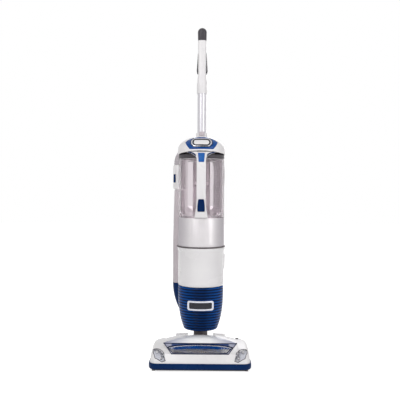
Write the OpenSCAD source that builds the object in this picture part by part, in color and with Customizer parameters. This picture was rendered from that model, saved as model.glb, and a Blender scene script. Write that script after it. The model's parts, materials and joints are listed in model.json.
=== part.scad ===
// Upright vacuum cleaner: a floor nozzle, a neck that tilts and swivels, a round body with a
// dust cup that comes out forwards, a side duct with its hose, and a handle on a wand.
// Each module is drawn about the barrel's axis, with the floor at z = 0 and the front at -Y.
// placed() then moves it so that the origin is the centre of the footprint.

/* [Barrel] */
// Outer radius of the cup and the housings
barrel_r = 77.5; // [76:0.5:80]
// Wall of the housings
wall = 3; // [2.4:0.2:3.6]
// Height of the body's underside above the floor
base_z = 95; // [95:1:100]
// Height of the ribbed cover on the motor base
cover_h = 148; // [140:1:160]
// Height of the filter housing
filter_h = 128; // [120:1:140]
// Thickness of the seal ring under the cup
seal_h = 4; // [3:0.5:5]
// Height of the opaque band at the foot of the cup
band_h = 95.7; // [90:0.1:105]
// Height of the clear cup above the band
cup_h = 198; // [190:1:210]
// Height of the cup's lid
lid_h = 13; // [11:1:15]
// Height of the top housing's skirt
skirt_h = 17; // [15:1:20]
// Height of the top housing's dome above its skirt
dome_h = 44; // [40:1:48]
// How far the top housing stands out past the barrel
skirt_out = 2.5; // [2:0.5:4]

/* [Cover] */
// Number of ribs on the cover
ribs = 16; // [12:1:18]
// Depth of the grooves between the ribs
groove_d = 1.4; // [1:0.1:1.8]
// Half angle that the cover wraps round the motor base
cover_half = 90; // [84:1:90]
// How much smaller the cover's radius is at the bottom
cover_taper = 20.5; // [18:0.5:22]
// Thickness of the cover
cover_t = 3.6; // [3.2:0.2:4]

/* [Cup] */
// Wall of the clear cup and its band
cup_wall = 2.5; // [2:0.1:3]
// Distance from the barrel's axis to the recessed front panel
panel_y = 50; // [48:0.5:52]
// Half width of the recessed front panel
panel_x = 46; // [42:0.5:48]
// Height of the recess's lower slope
recess_slope = 34; // [28:1:38]
// Radius of the perforated shroud in the cup
shroud_r = 25.5; // [24:0.5:30]

/* [Carry handle] */
// Width of the carry handle's bar
bar_w = 30; // [26:1:32]
// Thickness of the bar, front to back
bar_t = 12; // [10:0.5:13]
// How far the bar stands out past the barrel
bar_out = 20.5; // [18:0.5:24]
// Width of the handle's foot
foot_w = 47; // [42:1:50]
// Travel of the push buttons
press = 3; // [2:0.5:3.5]

/* [Wand and handle] */
// Outer radius of the wand
wand_r = 15; // [14:0.5:15.5]
// Distance of the wand behind the barrel's axis
wand_y = 30; // [26:1:32]
// Length of the wand that shows between its collar and the handle
wand_l = 136; // [120:1:160]
// Height of the collar round the wand
collar_h = 14; // [12:1:16]
// Length of the handle above the wand
handle_l = 227; // [215:1:240]
// How far behind the wand the centre of the hand grip lies
grip_back = 64; // [60:1:68]
// Half width of the soft grip
grip_rx = 20.5; // [19:0.5:21.5]
// Half depth of the soft grip
grip_ry = 16.5; // [15.5:0.5:17]

/* [Side duct and hose] */
// Outer radius of the side duct
duct_r = 21; // [20:0.5:21.5]
// Distance of the duct behind the barrel's axis
duct_y = 64; // [63:0.5:66]
// Height of the duct's top above the floor
duct_top = 562; // [550:1:575]
// Outer radius of the hose cuff
cuff_r = 22.3; // [21.8:0.1:22.6]
// Length of the hose cuff
cuff_h = 83; // [78:1:90]
// Outer radius over the hose's ribs
hose_r = 18; // [17:0.5:18.5]
// Radius of the hose's bore
hose_bore = 15; // [14:0.5:15.5]
// Distance between the hose's ribs
rib_pitch = 6; // [5.5:0.5:8]
// Height of the hose port's mouth on the spine
port_top = 335; // [325:1:345]

/* [Spine] */
// Width of the spine behind the cup
spine_w = 60; // [54:1:62]
// Depth of the spine behind the barrel
spine_out = 26.5; // [24:0.5:29]
// Reach of the cord hooks behind the spine
hook_l = 34; // [30:1:36]
// Radius of the tool post
post_r = 15.6; // [14:0.1:16]
// Length of the tool post
post_l = 42; // [36:1:50]
// Radius of the cord gland's hole
gland_r = 4.2; // [3.6:0.1:4.6]

/* [Floor nozzle] */
// Width of the nozzle
nozzle_w = 312; // [304:1:320]
// Distance from the barrel's axis to the nozzle's front face
nozzle_front = 190; // [186:1:196]
// Height of the nozzle's underside above the floor
clearance = 9; // [8:0.5:10]
// Height of the front face's top edge
face_z = 54; // [52:0.5:56]
// Distance from the barrel's axis to the front face's top edge
face_y = 178; // [176:1:180]
// Height of the shoulders beside the window
shoulder_z = 60; // [58:0.5:63]
// Height of the arched brow above the window
brow_z = 85; // [82:0.5:88]
// Thickness of the bumper
bumper_t = 4.5; // [4:0.5:7]
// Height of the bumper
bumper_h = 18; // [16:0.5:20]
// Radius of the brush roll over its bristles
brush_r = 25.5; // [24:0.5:26]
// Distance from the barrel's axis to the brush roll
brush_y = 138; // [136:0.5:140]
// Radius of the rear wheels
wheel_r = 30; // [28:0.5:31]
// Width of the rear wheels
wheel_w = 20; // [18:0.5:21]
// Distance of the tilt axis behind the barrel's axis
pivot_y = 40; // [38:0.5:42]
// Radius of the front rollers
roller_r = 7; // [6:0.5:7.5]
// Radius of the neck's cross barrel
neck_r = 24; // [22:0.5:24.5]

/* [Hidden] */
$fn = 72;

// Clearance between separate pieces, and radial clearance of shafts in their bores
gap = 0.3;
run = 0.06;
// Larger than anything here, for cutting tools
far = 400;

// Where the barrel's axis lies behind the origin
barrel_y = 26;
// Distance of the side duct's axis beside the barrel's, and of the spine's rear face behind it
duct_x = barrel_r - 0.5;
spine_y = barrel_r + spine_out;

// Heights, from the floor up
cover_top = base_z + cover_h;
filter_top = cover_top + filter_h;
seal_top = filter_top + seal_h;
cup_z = seal_top + gap;
band_top = cup_z + band_h;
cup_top = band_top + cup_h;
lid_top = cup_top + lid_h;
skirt_z = lid_top + 1;
dome_z = skirt_z + skirt_h;
dome_top = dome_z + dome_h;
collar_top = dome_top + collar_h;
handle_z = collar_top + wand_l;
handle_top = handle_z + handle_l;

// Colours
pearl = [0.91, 0.90, 0.90];
silver = [0.80, 0.80, 0.81];
chrome = [0.84, 0.86, 0.88];
blue = [0.08, 0.29, 0.63];
navy = [0.04, 0.13, 0.30];
charcoal = [0.27, 0.26, 0.27];
taupe = [0.68, 0.65, 0.66];
black = [0.10, 0.10, 0.11];
steel = [0.62, 0.63, 0.65];
clear = [0.82, 0.84, 0.86, 0.45];
foam_blue = [0.35, 0.47, 0.62];

// ---------- Shared shapes ----------

// Moves a piece from the barrel's frame to the part's frame
module placed() {
  translate([0, barrel_y, 0]) children();
}

// Solid of triangles through rings that have equally many points, with flat ends
module skin(rings) {
  m = len(rings);
  n = len(rings[0]);
  sides = [
    for (j = [0 : m - 2], i = [0 : n - 1]) each [
      [j * n + i, (j + 1) * n + i, (j + 1) * n + (i + 1) % n],
      [j * n + i, (j + 1) * n + (i + 1) % n, j * n + (i + 1) % n]
    ]
  ];
  polyhedron(
    [for (r = rings) each r],
    concat([[for (i = [0 : n - 1]) i]], sides, [[for (i = [n - 1 : -1 : 0]) (m - 1) * n + i]])
  );
}

// Cylinder along X, centred on x
module rod_x(r, l, at) {
  translate([at[0] - l / 2, at[1], at[2]]) rotate([0, 90, 0]) cylinder(r = r, h = l);
}

// Cylinder along Y, from y to y + l
module rod_y(r, l, at) {
  translate(at) rotate([-90, 0, 0]) cylinder(r = r, h = l);
}

// Outline in the X-Z plane, extruded along Y from y0 to y1
module front_prism(y0, y1) {
  translate([0, y1, 0]) rotate([90, 0, 0]) linear_extrude(y1 - y0) children();
}

// Outline in the Y-Z plane, extruded along X over the width w
module side_prism(w) {
  translate([-w / 2, 0, 0]) rotate([90, 0, 90]) linear_extrude(w) children();
}

// Revolved outline over an angle centred on the front
module front_sector(half) {
  rotate([0, 0, -90 - half]) rotate_extrude(angle = 2 * half) children();
}

// Rectangle with round corners, centred on a point
module round_rect(w, h, r, at = [0, 0]) {
  translate(at) hull() {
    for (x = [-1, 1], y = [-1, 1]) translate([x * (w / 2 - r), y * (h / 2 - r)]) circle(r, $fn = 32);
  }
}

// How far an edge with a corner radius r has turned in at u, where its side is at w
function corner(u, w, r) = u > w - r ? r - sqrt(max(0, r * r - pow(u - w + r, 2))) : 0;

// Point on a chain of cubic Bezier curves through p, at t from 0 to 1 of piece i
function bezier(p, t) =
  pow(1 - t, 3) * p[0] + 3 * t * pow(1 - t, 2) * p[1] + 3 * t * t * (1 - t) * p[2] + pow(t, 3) * p[3];

function unit(v) = v / norm(v);

// Ring of n points round a path point, with half width rx along s and half depth ry along w
function ring(at, s, w, rx, ry, n) =
  [for (i = [0 : n - 1]) at + rx * cos(360 * i / n) * s + ry * sin(360 * i / n) * w];

// ---------- Motor base and cover ----------

// Outer radius of the cover at height z: it narrows towards the bottom and rounds off at the top
cover_round = 7;
function cover_r(z) =
  barrel_r - 1 - cover_taper * pow(1 - (z - base_z) / cover_h, 3)
  - corner(z, cover_top, cover_round);
core_in = cover_t + gap;
rib_h = cover_h / ribs;
// Steps in which the cover's curve is drawn
cover_steps = [0 : 12];
function cover_z(i) = base_z + cover_h * i / 12;

// Filter cartridge in the front of the motor base
hepa_z = base_z + 56;
hepa_h = 50;
hepa_half = 36;
hepa_r = barrel_r - 30.5;

module cover_curve(inset, back) {
  polygon(concat(
    [for (i = cover_steps) [cover_r(cover_z(i)) - inset, cover_z(i)]],
    [for (i = [12 : -1 : 0]) [cover_r(cover_z(i)) - back, cover_z(i)]]
  ));
}

module hepa_sector(extra) {
  front_sector(hepa_half + extra) translate([hepa_r, hepa_z - extra])
    square([40, hepa_h + 2 * extra]);
}

module motor_base() {
  color(silver) placed() difference() {
    union() {
      rotate_extrude() cover_curve(core_in, core_in + wall);
      translate([0, 0, base_z]) cylinder(r = cover_r(base_z) - core_in - 0.5, h = wall);
      rotate([0, 0, 180]) front_sector(180 - cover_half - 0.4) cover_curve(0, core_in + 1);
    }
    hepa_sector(0.5);
  }
}

module ribbed_cover() {
  color(blue) placed() front_sector(cover_half) polygon(concat(
    [
      for (i = [0 : ribs - 1], p = [[0.08, 1], [0.26, 0], [0.8, 0], [0.98, 1]])
        let (z = base_z + (i + p[0]) * rib_h) [cover_r(z) - p[1] * groove_d, z]
    ],
    [for (i = [12 : -1 : 0]) [cover_r(cover_z(i)) - cover_t, cover_z(i)]]
  ));
}

// Framed plate on the cover
frame_w = 87;
frame_h = 32;
frame_z = base_z + 88;

module cover_frame() {
  color(chrome) placed() difference() {
    intersection() {
      front_sector(60) cover_curve(-2.4, -0.05);
      front_prism(-far, 0) round_rect(frame_w, frame_h, 7, [0, frame_z]);
    }
    intersection() {
      front_sector(60) cover_curve(-4, -1.4);
      front_prism(-far, 0) round_rect(frame_w - 12, frame_h - 11, 4, [0, frame_z]);
    }
  }
}

module hepa_filter() {
  pleats = 18;
  color("white") placed() difference() {
    intersection() {
      hepa_sector(0);
      rotate_extrude() cover_curve(core_in, core_in + 40);
    }
    for (i = [0 : pleats - 1]) rotate([0, 0, (i + 0.5 - pleats / 2) * 2 * (hepa_half - 3) / pleats])
      translate([-1, -cover_r(cover_z(9)) - 5, hepa_z + 5]) cube([2, 14, hepa_h - 10]);
  }
}

// ---------- Fan motor ----------

mount_z = base_z + wall;
mount_h = 12;
can_z = mount_z + mount_h;
can_r = barrel_r - 34.5;
can_h = 92;
can_bore = can_r - 16;
fan_z = can_z + can_h;
fan_h = 34;
fan_case_r = barrel_r - 15.5;
shaft_r = 4;
impeller_r = fan_case_r - 7;

module motor_mount() {
  color(black) placed() translate([0, 0, mount_z]) difference() {
    cylinder(r = can_r + 4, h = mount_h);
    translate([0, 0, -1]) cylinder(r = can_r - 7, h = mount_h + 2);
  }
}

module fan_motor() {
  color(steel) placed() translate([0, 0, can_z]) difference() {
    cylinder(r = can_r, h = can_h);
    translate([0, 0, 6]) cylinder(r = can_bore, h = can_h - 12);
    translate([0, 0, -1]) cylinder(r = shaft_r + run, h = can_h + 2);
    for (a = [0 : 45 : 315]) rotate(a) translate([can_r - 5, -6, 14]) cube([10, 12, can_h - 28]);
  }
}

module fan_cover() {
  color(taupe) placed() translate([0, 0, fan_z]) difference() {
    cylinder(r = fan_case_r, h = fan_h);
    translate([0, 0, wall]) cylinder(r = fan_case_r - wall, h = fan_h - 2 * wall);
    translate([0, 0, -1]) cylinder(r = 12, h = wall + 2);
    translate([0, 0, fan_h - wall - 1]) cylinder(r = 20, h = wall + 2);
    for (a = [0 : 30 : 330]) rotate(a) translate([fan_case_r - 6, -7, 8]) cube([12, 14, 8]);
  }
}

// Curved blade from the hub to the rim: half of a thin ring
blade_r = impeller_r / 2 - 1;
module blade() {
  difference() {
    translate([blade_r, 0, 0]) cylinder(r = blade_r, h = 14);
    translate([blade_r, 0, -1]) cylinder(r = blade_r - 1.8, h = 16);
    translate([-1, -far, -1]) cube([far, far, far]);
  }
}

module fan_rotor() {
  blades = 9;
  z = fan_z + 8;
  color(steel) placed() {
    translate([0, 0, can_z - 4]) cylinder(r = shaft_r, h = fan_z + fan_h - can_z - 2);
    translate([0, 0, can_z + 12]) cylinder(r = can_bore - 2, h = can_h - 24);
    translate([0, 0, z]) cylinder(r = impeller_r, h = 2);
    translate([0, 0, z]) cylinder(r = 11, h = 16);
    for (i = [0 : blades - 1]) rotate(i * 360 / blades) translate([0, 0, z + 1]) blade();
  }
}

// ---------- Filter housing and seal ----------

rim_r = barrel_r + 2.5;
rim_h = 9;
shelf_z = filter_top - 44;
shelf_hole = 30;

// Space that the side duct takes beside the barrel
module duct_space(extra) {
  translate([-duct_x, duct_y, 0]) cylinder(r = duct_r + extra, h = far * 2);
}

module filter_housing() {
  in_r = barrel_r - wall;
  color(pearl) placed() difference() {
    rotate_extrude() polygon([
      [0, cover_top], [barrel_r - 2.4, cover_top], [barrel_r - 0.7, cover_top + 4],
      [barrel_r, cover_top + 11], [barrel_r, filter_top - rim_h - 4],
      [rim_r, filter_top - rim_h], [rim_r, filter_top], [0, filter_top]
    ]);
    translate([0, 0, cover_top - 1]) cylinder(r = in_r - 2.4, h = shelf_z - cover_top + 1 - wall);
    translate([0, 0, shelf_z - wall - 2]) cylinder(r = shelf_hole, h = wall + 4);
    translate([0, 0, shelf_z]) cylinder(r = in_r, h = far);
    duct_space(gap);
  }
}

module pre_filters() {
  r = barrel_r - wall - gap;
  color(foam_blue) placed() {
    translate([0, 0, shelf_z]) cylinder(r = r, h = 10);
    translate([0, 0, shelf_z + 10.3]) difference() {
      cylinder(r = r, h = 28);
      translate([0, 0, 20]) cylinder(r = 12, h = 10);
    }
  }
}

module seal_ring() {
  out = rim_r + 2;
  color(charcoal) placed() difference() {
    rotate_extrude() polygon([
      [barrel_r - 4, filter_top], [out - 1.3, filter_top], [out, filter_top + 1.2],
      [out, seal_top - 1.2], [out - 1.3, seal_top], [barrel_r - 4, seal_top]
    ]);
    duct_space(gap);
  }
}

// ---------- Side duct, foot and cuff ----------

duct_wall = 2.5;
duct_z = cover_top - 3;
duct_taper_z = filter_top + 20;
duct_neck_r = duct_r - 3.5;
spigot_r = 12.6;
spigot_l = 26;
// Middle of the saddle that holds the duct to the filter housing
saddle_z = cover_top + 60;
saddle_h = 70;

module at_duct() {
  placed() translate([-duct_x, duct_y, 0]) children();
}

module side_duct() {
  color(taupe) {
    at_duct() rotate_extrude() polygon([
      [duct_r, duct_z], [duct_r, duct_taper_z], [duct_neck_r, duct_top - 10],
      [duct_neck_r, duct_top - 3], [duct_neck_r - 2, duct_top], [spigot_r, duct_top],
      [spigot_r, duct_top + spigot_l], [spigot_r - 2, duct_top + spigot_l],
      [spigot_r - 2, duct_top - 6], [duct_neck_r - duct_wall, duct_top - 12],
      [duct_r - duct_wall, duct_taper_z], [duct_r - duct_wall, duct_z]
    ]);
    placed() difference() {
      translate([-duct_x - 3, duct_y - 36, saddle_z - saddle_h / 2]) cube([34, 48, saddle_h]);
      translate([0, 0, duct_z]) cylinder(r = barrel_r + gap, h = far);
      translate([-duct_x, duct_y, duct_z]) cylinder(r = duct_r - 0.5, h = far);
      translate([-duct_x - far, 0, duct_z]) cube([far - 6, far, far]);
    }
  }
}

// The foot curves down and inwards from the duct to the swivel's collar
foot_path = [
  [-duct_x, duct_y, duct_z - gap], [-duct_x, duct_y, 182], [-50, 74, 128], [-6, 62, base_z + gap]
];

module duct_foot() {
  steps = 12;
  down = [0, 0, -1];
  color(navy) placed() difference() {
    skin([
      for (i = [0 : steps])
        let (
          t = i / steps,
          a = bezier(foot_path, max(0, t - 0.01)),
          b = bezier(foot_path, min(1, t + 0.01)),
          d = i == 0 || i == steps ? down : unit(b - a),
          s = unit(cross([0, 1, 0], d)),
          w = cross(d, s)
        ) ring(bezier(foot_path, t), s, w, duct_r, duct_r, 20)
    ]);
    rotate_extrude() polygon(concat(
      [[0, base_z - 5]],
      [for (i = cover_steps) [cover_r(cover_z(i)) + gap, cover_z(i) - (i == 0 ? 5 : 0)]],
      [[0, cover_top]]
    ));
  }
}

cuff_z = duct_top + 4;
cuff_top = cuff_z + cuff_h;
// The hose's straight end sits this deep in the cuff and in the port
hose_seat = 2 * hose_r;
// Direction in which the cuff's button faces
cuff_turn = -47;
cuff_button_w = 10;
cuff_button_h = 29;
cuff_button_z = cuff_z + 22;
cuff_press = 1.5;

module cuff_button_shape(extra, r0, r1) {
  at_duct() rotate([0, 0, cuff_turn]) translate([0, 0, cuff_button_z + cuff_button_h / 2])
    front_prism(-r1, -r0) round_rect(cuff_button_w + 2 * extra, cuff_button_h + 2 * extra, 3);
}

module hose_cuff() {
  color(pearl) difference() {
    at_duct() rotate_extrude() polygon([
      [spigot_r + gap, duct_top + gap], [duct_neck_r - 2, duct_top + gap],
      [duct_neck_r - 2, cuff_z - 1], [cuff_r - 1.5, cuff_z], [cuff_r, cuff_z + 2],
      [cuff_r, cuff_top - 4], [cuff_r - 2, cuff_top], [hose_r + gap, cuff_top],
      [hose_r + gap, cuff_top - hose_seat], [spigot_r + gap, cuff_top - hose_seat]
    ]);
    cuff_button_shape(gap, hose_r + 1.3, cuff_r + 5);
  }
}

module cuff_button() {
  color(navy) cuff_button_shape(0, cuff_r - 1.4, cuff_r + 1.2);
}

// ---------- Hose ----------

port_x = spine_w / 2 + 32;
port_y = spine_y - 6;
// Route of the hose's centre, from the cuff over the spine's head and down to its port
hose_route = [
  [-duct_x, duct_y, cuff_top - hose_seat + gap], [-duct_x, duct_y, cuff_top],
  [1 - duct_x, duct_y + 2, cuff_top + 15], [8 - duct_x, duct_y + 13, cuff_top + 33],
  [23 - duct_x, spine_y - 9, cuff_top + 44], [-32, spine_y + 8, cuff_top + 48],
  [-6, spine_y + 20, cuff_top + 49], [20, spine_y + 20, cuff_top + 46],
  [port_x - 20, spine_y + 10, cuff_top + 37], [port_x - 5, port_y + 5, cuff_top + 19],
  [port_x, port_y, cuff_top - 4], [port_x, port_y, port_top + 225], [port_x, port_y, port_top + 135],
  [port_x, port_y, port_top], [port_x, port_y, port_top - hose_seat + gap]
];
hose_sides = 8;

// Point of a smooth curve through the route, at t between route points i and i + 1
function route_point(i, t) =
  let (
    n = len(hose_route) - 1,
    p0 = hose_route[max(i - 1, 0)], p1 = hose_route[i],
    p2 = hose_route[i + 1], p3 = hose_route[min(i + 2, n)],
    // Handles are limited to the stretch's own length, which keeps straight runs straight
    k = norm(p2 - p1) / 3,
    d1 = i == 0 ? unit(p2 - p1) : unit(unit(p2 - p1) + unit(p1 - p0)),
    d2 = i == n - 1 ? unit(p2 - p1) : unit(unit(p3 - p2) + unit(p2 - p1))
  ) bezier([p1, p1 + k * d1, p2 - k * d2, p2], t);

// Points along the route, one each step, with the route's ends kept
route_dense = [
  for (i = [0 : len(hose_route) - 2]) each
    let (c = ceil(norm(hose_route[i + 1] - hose_route[i]) / 1.5))
    [for (j = [0 : c - 1]) route_point(i, j / c)],
  hose_route[len(hose_route) - 1]
];
route_len = [
  for (i = 0, l = 0; i < len(route_dense);
       i = i + 1, l = l + (i < len(route_dense) ? norm(route_dense[i] - route_dense[i - 1]) : 0)) l
];
hose_l = route_len[len(route_len) - 1];
hose_ribs = floor(hose_l / rib_pitch);

function at_length(l) = let (x = lookup(l, [for (i = [0 : len(route_len) - 1]) [route_len[i], i]]),
  i = min(floor(x), len(route_dense) - 2)) route_dense[i] + (x - i) * (route_dense[i + 1] - route_dense[i]);

// Rings of a tube along the hose: radii[i] is the radius at lengths[i]
function hose_rings(lengths, radii) =
  let (
    m = len(lengths),
    p = [for (l = lengths) at_length(l)],
    d = [
      for (i = [0 : m - 1])
        i == 0 || i == m - 1 ? (i == 0 ? [0, 0, 1] : [0, 0, -1]) : unit(p[i + 1] - p[i - 1])
    ],
    s = [
      for (i = 0, v = [1, 0, 0]; i < m;
           i = i + 1, v = i < m ? unit(v - (v * d[i]) * d[i]) : v) v
    ]
  )
  [for (i = [0 : m - 1]) ring(p[i], s[i], cross(d[i], s[i]), radii[i], radii[i], hose_sides)];

// One closed tube of triangles between an outer and an inner run of rings
module tube_skin(outer, inner) {
  n = len(outer[0]);
  a = len(outer);
  b = len(inner);
  function wall_faces(m, start, turn) = [
    for (j = [0 : m - 2], i = [0 : n - 1]) each
      let (
        p = start + j * n + i, q = start + j * n + (i + 1) % n,
        r = start + (j + 1) * n + i, t = start + (j + 1) * n + (i + 1) % n
      ) turn ? [[p, t, r], [p, q, t]] : [[p, r, t], [p, t, q]]
  ];
  function end_faces(o, c, turn) = [
    for (i = [0 : n - 1]) each
      let (p = o + i, q = o + (i + 1) % n, r = c + i, t = c + (i + 1) % n)
      turn ? [[p, t, r], [p, q, t]] : [[p, r, t], [p, t, q]]
  ];
  polyhedron(
    [for (r = outer) each r, for (r = inner) each r],
    concat(
      wall_faces(a, 0, false), wall_faces(b, a * n, true),
      end_faces(0, a * n, true), end_faces((a - 1) * n, (a + b - 1) * n, false)
    )
  );
}

module hose() {
  rib_lengths = [0, for (i = [0 : 2 * hose_ribs - 1]) (i + 0.5) * hose_l / (2 * hose_ribs), hose_l];
  rib_radii = [hose_r - 1.8, for (i = [0 : 2 * hose_ribs - 1]) hose_r - (i % 2) * 1.8, hose_r - 1.8];
  bore_steps = ceil(hose_l / 14);
  bore_lengths = [for (i = [0 : bore_steps]) i * hose_l / bore_steps];
  color(taupe) placed() tube_skin(
    hose_rings(rib_lengths, rib_radii),
    hose_rings(bore_lengths, [for (l = bore_lengths) hose_bore])
  );
}

// Least space between stretches of the hose that lie more than six diameters apart along it
echo(hose_gap = min([
  for (i = [0 : 12 : len(route_dense) - 1], j = [i + 144 : 12 : len(route_dense) - 1])
    norm(route_dense[i] - route_dense[j]) - 2 * hose_r
]));

module hose_port() {
  base = port_top - hose_seat - 6;
  elbow_z = base - 6;
  out = hose_r + 4;
  color(pearl) placed() difference() {
    union() {
      translate([port_x, port_y, base]) cylinder(r = out, h = port_top - base);
      translate([port_x, port_y, base]) sphere(r = out);
      rod_x(14, port_x - spine_w / 2 - gap, [(port_x + spine_w / 2 + gap) / 2, port_y - 2, elbow_z]);
    }
    translate([port_x, port_y, port_top - hose_seat]) cylinder(r = hose_r + gap, h = hose_seat + 1);
    translate([port_x, port_y, base - 6]) cylinder(r = hose_bore - 1, h = 30);
  }
}

// ---------- Spine, hooks, gland and tool post ----------

spine_z = cover_top + 19;
spine_in = rim_r + 2 + gap;
hook_low_z = filter_top + 34;
hook_high_z = band_top + 118;
hook_w = 24;
hook_t = 10;
hook_pin_r = 5;
hook_pin_l = 12;
gland_z = spine_z + 30;
gland_body_r = 7;
gland_l = 12;
post_x = spine_w / 2 + 22;
post_y = spine_y - 4;
// The post leans back, so that a tool slides on behind the hose
post_tilt = 30;
post_z = filter_top + 29;

// Arm and lip of a cord hook: the lip points up, or down where dir is -1; root is its length inside the spine
module hook_shape(z, dir, root = 0) {
  translate([0, spine_y + gap, z]) side_prism(hook_w) polygon([
    [-root, -dir * hook_t / 2], [hook_l, -dir * hook_t / 2], [hook_l, dir * 34],
    [hook_l - 6, dir * 37], [hook_l - 9, dir * 34], [hook_l - 9, dir * hook_t / 2 + 2 * dir],
    [hook_l - 12, dir * hook_t / 2], [-root, dir * hook_t / 2]
  ]);
}

module spine() {
  head = skirt_z - spine_z;
  color(pearl) placed() {
    difference() {
      translate([0, 0, spine_z]) linear_extrude(head) hull() {
        for (x = [-1, 1]) {
          translate([x * (spine_w / 2 - 8), spine_y - 8]) circle(r = 8, $fn = 32);
          translate([x * (spine_w / 2 - 1), barrel_r - 15.5]) circle(r = 1, $fn = 16);
        }
      }
      translate([0, 0, spine_z - 1]) cylinder(r = barrel_r + gap, h = filter_top - rim_h - 5 - spine_z);
      translate([0, 0, filter_top - rim_h - 6.2]) cylinder(r = spine_in, h = far);
      rod_y(hook_pin_r + run, hook_pin_l + 1, [0, spine_y - hook_pin_l, hook_high_z]);
      rod_y(gland_body_r + run, gland_l + 1, [0, spine_y - gland_l, gland_z]);
      rod_y(gland_r + 1, 10, [0, spine_y - gland_l - 9, gland_z]);
    }
    translate([0, -gap, 0]) hook_shape(hook_low_z, -1, 2);
  }
}

module upper_cord_hook() {
  color(pearl) placed() union() {
    hook_shape(hook_high_z, 1);
    rod_y(11, 7, [0, spine_y + gap, hook_high_z]);
    rod_y(hook_pin_r, hook_pin_l + gap, [0, spine_y - hook_pin_l + 0.5, hook_high_z]);
  }
}

module cord_gland() {
  color(black) placed() difference() {
    union() {
      rod_y(gland_body_r, gland_l, [0, spine_y - gland_l, gland_z]);
      rod_y(11, 3, [0, spine_y, gland_z]);
    }
    rod_y(gland_r, gland_l + 6, [0, spine_y - gland_l - 1, gland_z]);
  }
}

module tool_post() {
  base_t = 8;
  chamfer = 2;
  top = base_t + post_l;
  color(pearl) placed() {
    translate([-post_x, post_y, post_z]) rotate([-post_tilt, 0, 0]) {
      cylinder(r = post_r, h = top - chamfer);
      translate([0, 0, top - chamfer]) cylinder(r1 = post_r, r2 = post_r - chamfer, h = chamfer);
      cylinder(r = post_r + 2.5, h = base_t);
    }
    translate([-post_x, post_y - 12, post_z]) cube([post_x - spine_w / 2 - gap, 12, base_t]);
  }
}

// ---------- Top housing ----------

top_r = barrel_r + skirt_out;
arch_rise = 10;
arch_r = (top_r * top_r + arch_rise * arch_rise) / (2 * arch_rise);
socket_z = skirt_z + 9;
socket_y = barrel_r - 17.5;
collar_r = wand_r + 4.5;
switch_y = spine_y - 22;
switch_z = dome_z + 24;
switch_r = 10;
switch_w = 16;

// Outline of the dome and skirt, moved out by o
module dome_curve(o) {
  polygon(concat(
    [[0, skirt_z - (o > 0 ? 0 : 1)], [top_r + o, skirt_z - (o > 0 ? 0 : 1)]],
    [for (a = [0 : 6 : 90]) [(top_r + o) * cos(a), dome_z + (dome_h + o) * sin(a)]]
  ));
}

module dome(o) {
  rotate_extrude() dome_curve(o);
}

module panel_outline(o) {
  offset(delta = o) polygon([
    [-54, dome_z + 21], [-47, dome_z + 28], [-36, dome_z + 34], [-20, dome_z + 39.5],
    [0, dome_z + 41.5], [20, dome_z + 39.5], [36, dome_z + 34], [47, dome_z + 28],
    [54, dome_z + 21], [48, dome_z + 9], [39, dome_z - 2], [-39, dome_z - 2], [-48, dome_z + 9]
  ]);
}

module top_housing() {
  color(pearl) placed() difference() {
    union() {
      difference() {
        dome(0);
        dome(-wall);
        translate([0, 0, skirt_z + arch_rise - arch_r]) front_prism(-far, -20) circle(r = arch_r, $fn = 180);
        intersection() {
          difference() {
            dome(5);
            dome(-2.5);
          }
          front_prism(-far, -5) panel_outline(0.2);
        }
      }
      intersection() {
        union() {
          translate([0, wand_y, socket_z]) cylinder(r = collar_r - 0.5, h = dome_top - socket_z);
          side_prism(2 * 32) polygon([
            [socket_y, skirt_z + 9], [barrel_r - 2.5, skirt_z + 9], [spine_in + 0.5, skirt_z],
            [spine_y, skirt_z], [spine_y, dome_z + 14], [spine_y - 8, dome_z + 26],
            [socket_y, dome_z + 34], [wand_y, dome_top - 3], [wand_y, socket_z]
          ]);
        }
        translate([0, wand_y + far / 2 - 40, 0]) cube([2 * collar_r + 50, far, 3 * far], center = true);
      }
      translate([0, wand_y, dome_top - 12]) cylinder(r = collar_r + 1.5, h = 12);
      translate([0, wand_y, dome_top - 6]) cylinder(r = collar_r, h = collar_h + 6);
    }
    translate([0, wand_y, socket_z + wall]) cylinder(r = wand_r + gap, h = far);
    translate([-9.3, wand_y - collar_r - 1, collar_top - 12]) cube([18.6, 5.2, 20]);
    rod_x(switch_r + gap, switch_w + 2 * gap, [0, switch_y, switch_z]);
  }
}

module blue_panel() {
  color(blue) placed() intersection() {
    difference() {
      dome(0.6);
      dome(-2.2);
    }
    front_prism(-far, -5) panel_outline(0);
  }
}

badge_w = 70;
badge_h = 29;
badge_z = dome_z + 20.5;

module badge_outline() {
  c = 9;
  translate([0, badge_z]) polygon([
    [-badge_w / 2, -badge_h / 2 + c], [-badge_w / 2 + c, -badge_h / 2],
    [badge_w / 2 - c, -badge_h / 2], [badge_w / 2, -badge_h / 2 + c],
    [badge_w / 2, badge_h / 2 - c], [badge_w / 2 - c, badge_h / 2],
    [-badge_w / 2 + c, badge_h / 2], [-badge_w / 2, badge_h / 2 - c]
  ]);
}

module badge_plate() {
  color(chrome) placed() difference() {
    intersection() {
      difference() {
        dome(3);
        dome(0.9);
      }
      front_prism(-far, -5) badge_outline();
    }
    intersection() {
      difference() {
        dome(5);
        dome(2.2);
      }
      front_prism(-far, -5) difference() {
        round_rect(badge_w - 12, badge_h - 7, 10.9, [0, badge_z]);
        round_rect(badge_w - 17, badge_h - 12, 8.4, [0, badge_z]);
      }
    }
  }
}

module power_switch() {
  color(charcoal) placed() translate([0, switch_y, switch_z]) side_prism(switch_w) intersection() {
    circle(r = switch_r);
    polygon([
      [-20, -20], [20, -20], [20, 7], [switch_r - 0.5, 7.4], [0, 5.4], [-switch_r + 0.5, 9.4], [-20, 9.4]
    ]);
  }
}

module wand_button() {
  color(taupe) placed() translate([-9, wand_y - collar_r - 0.6, collar_top - 8.5])
    cube([18, 4, 13]);
}

// ---------- Dust cup ----------

cup_r = barrel_r - 0.5;
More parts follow.
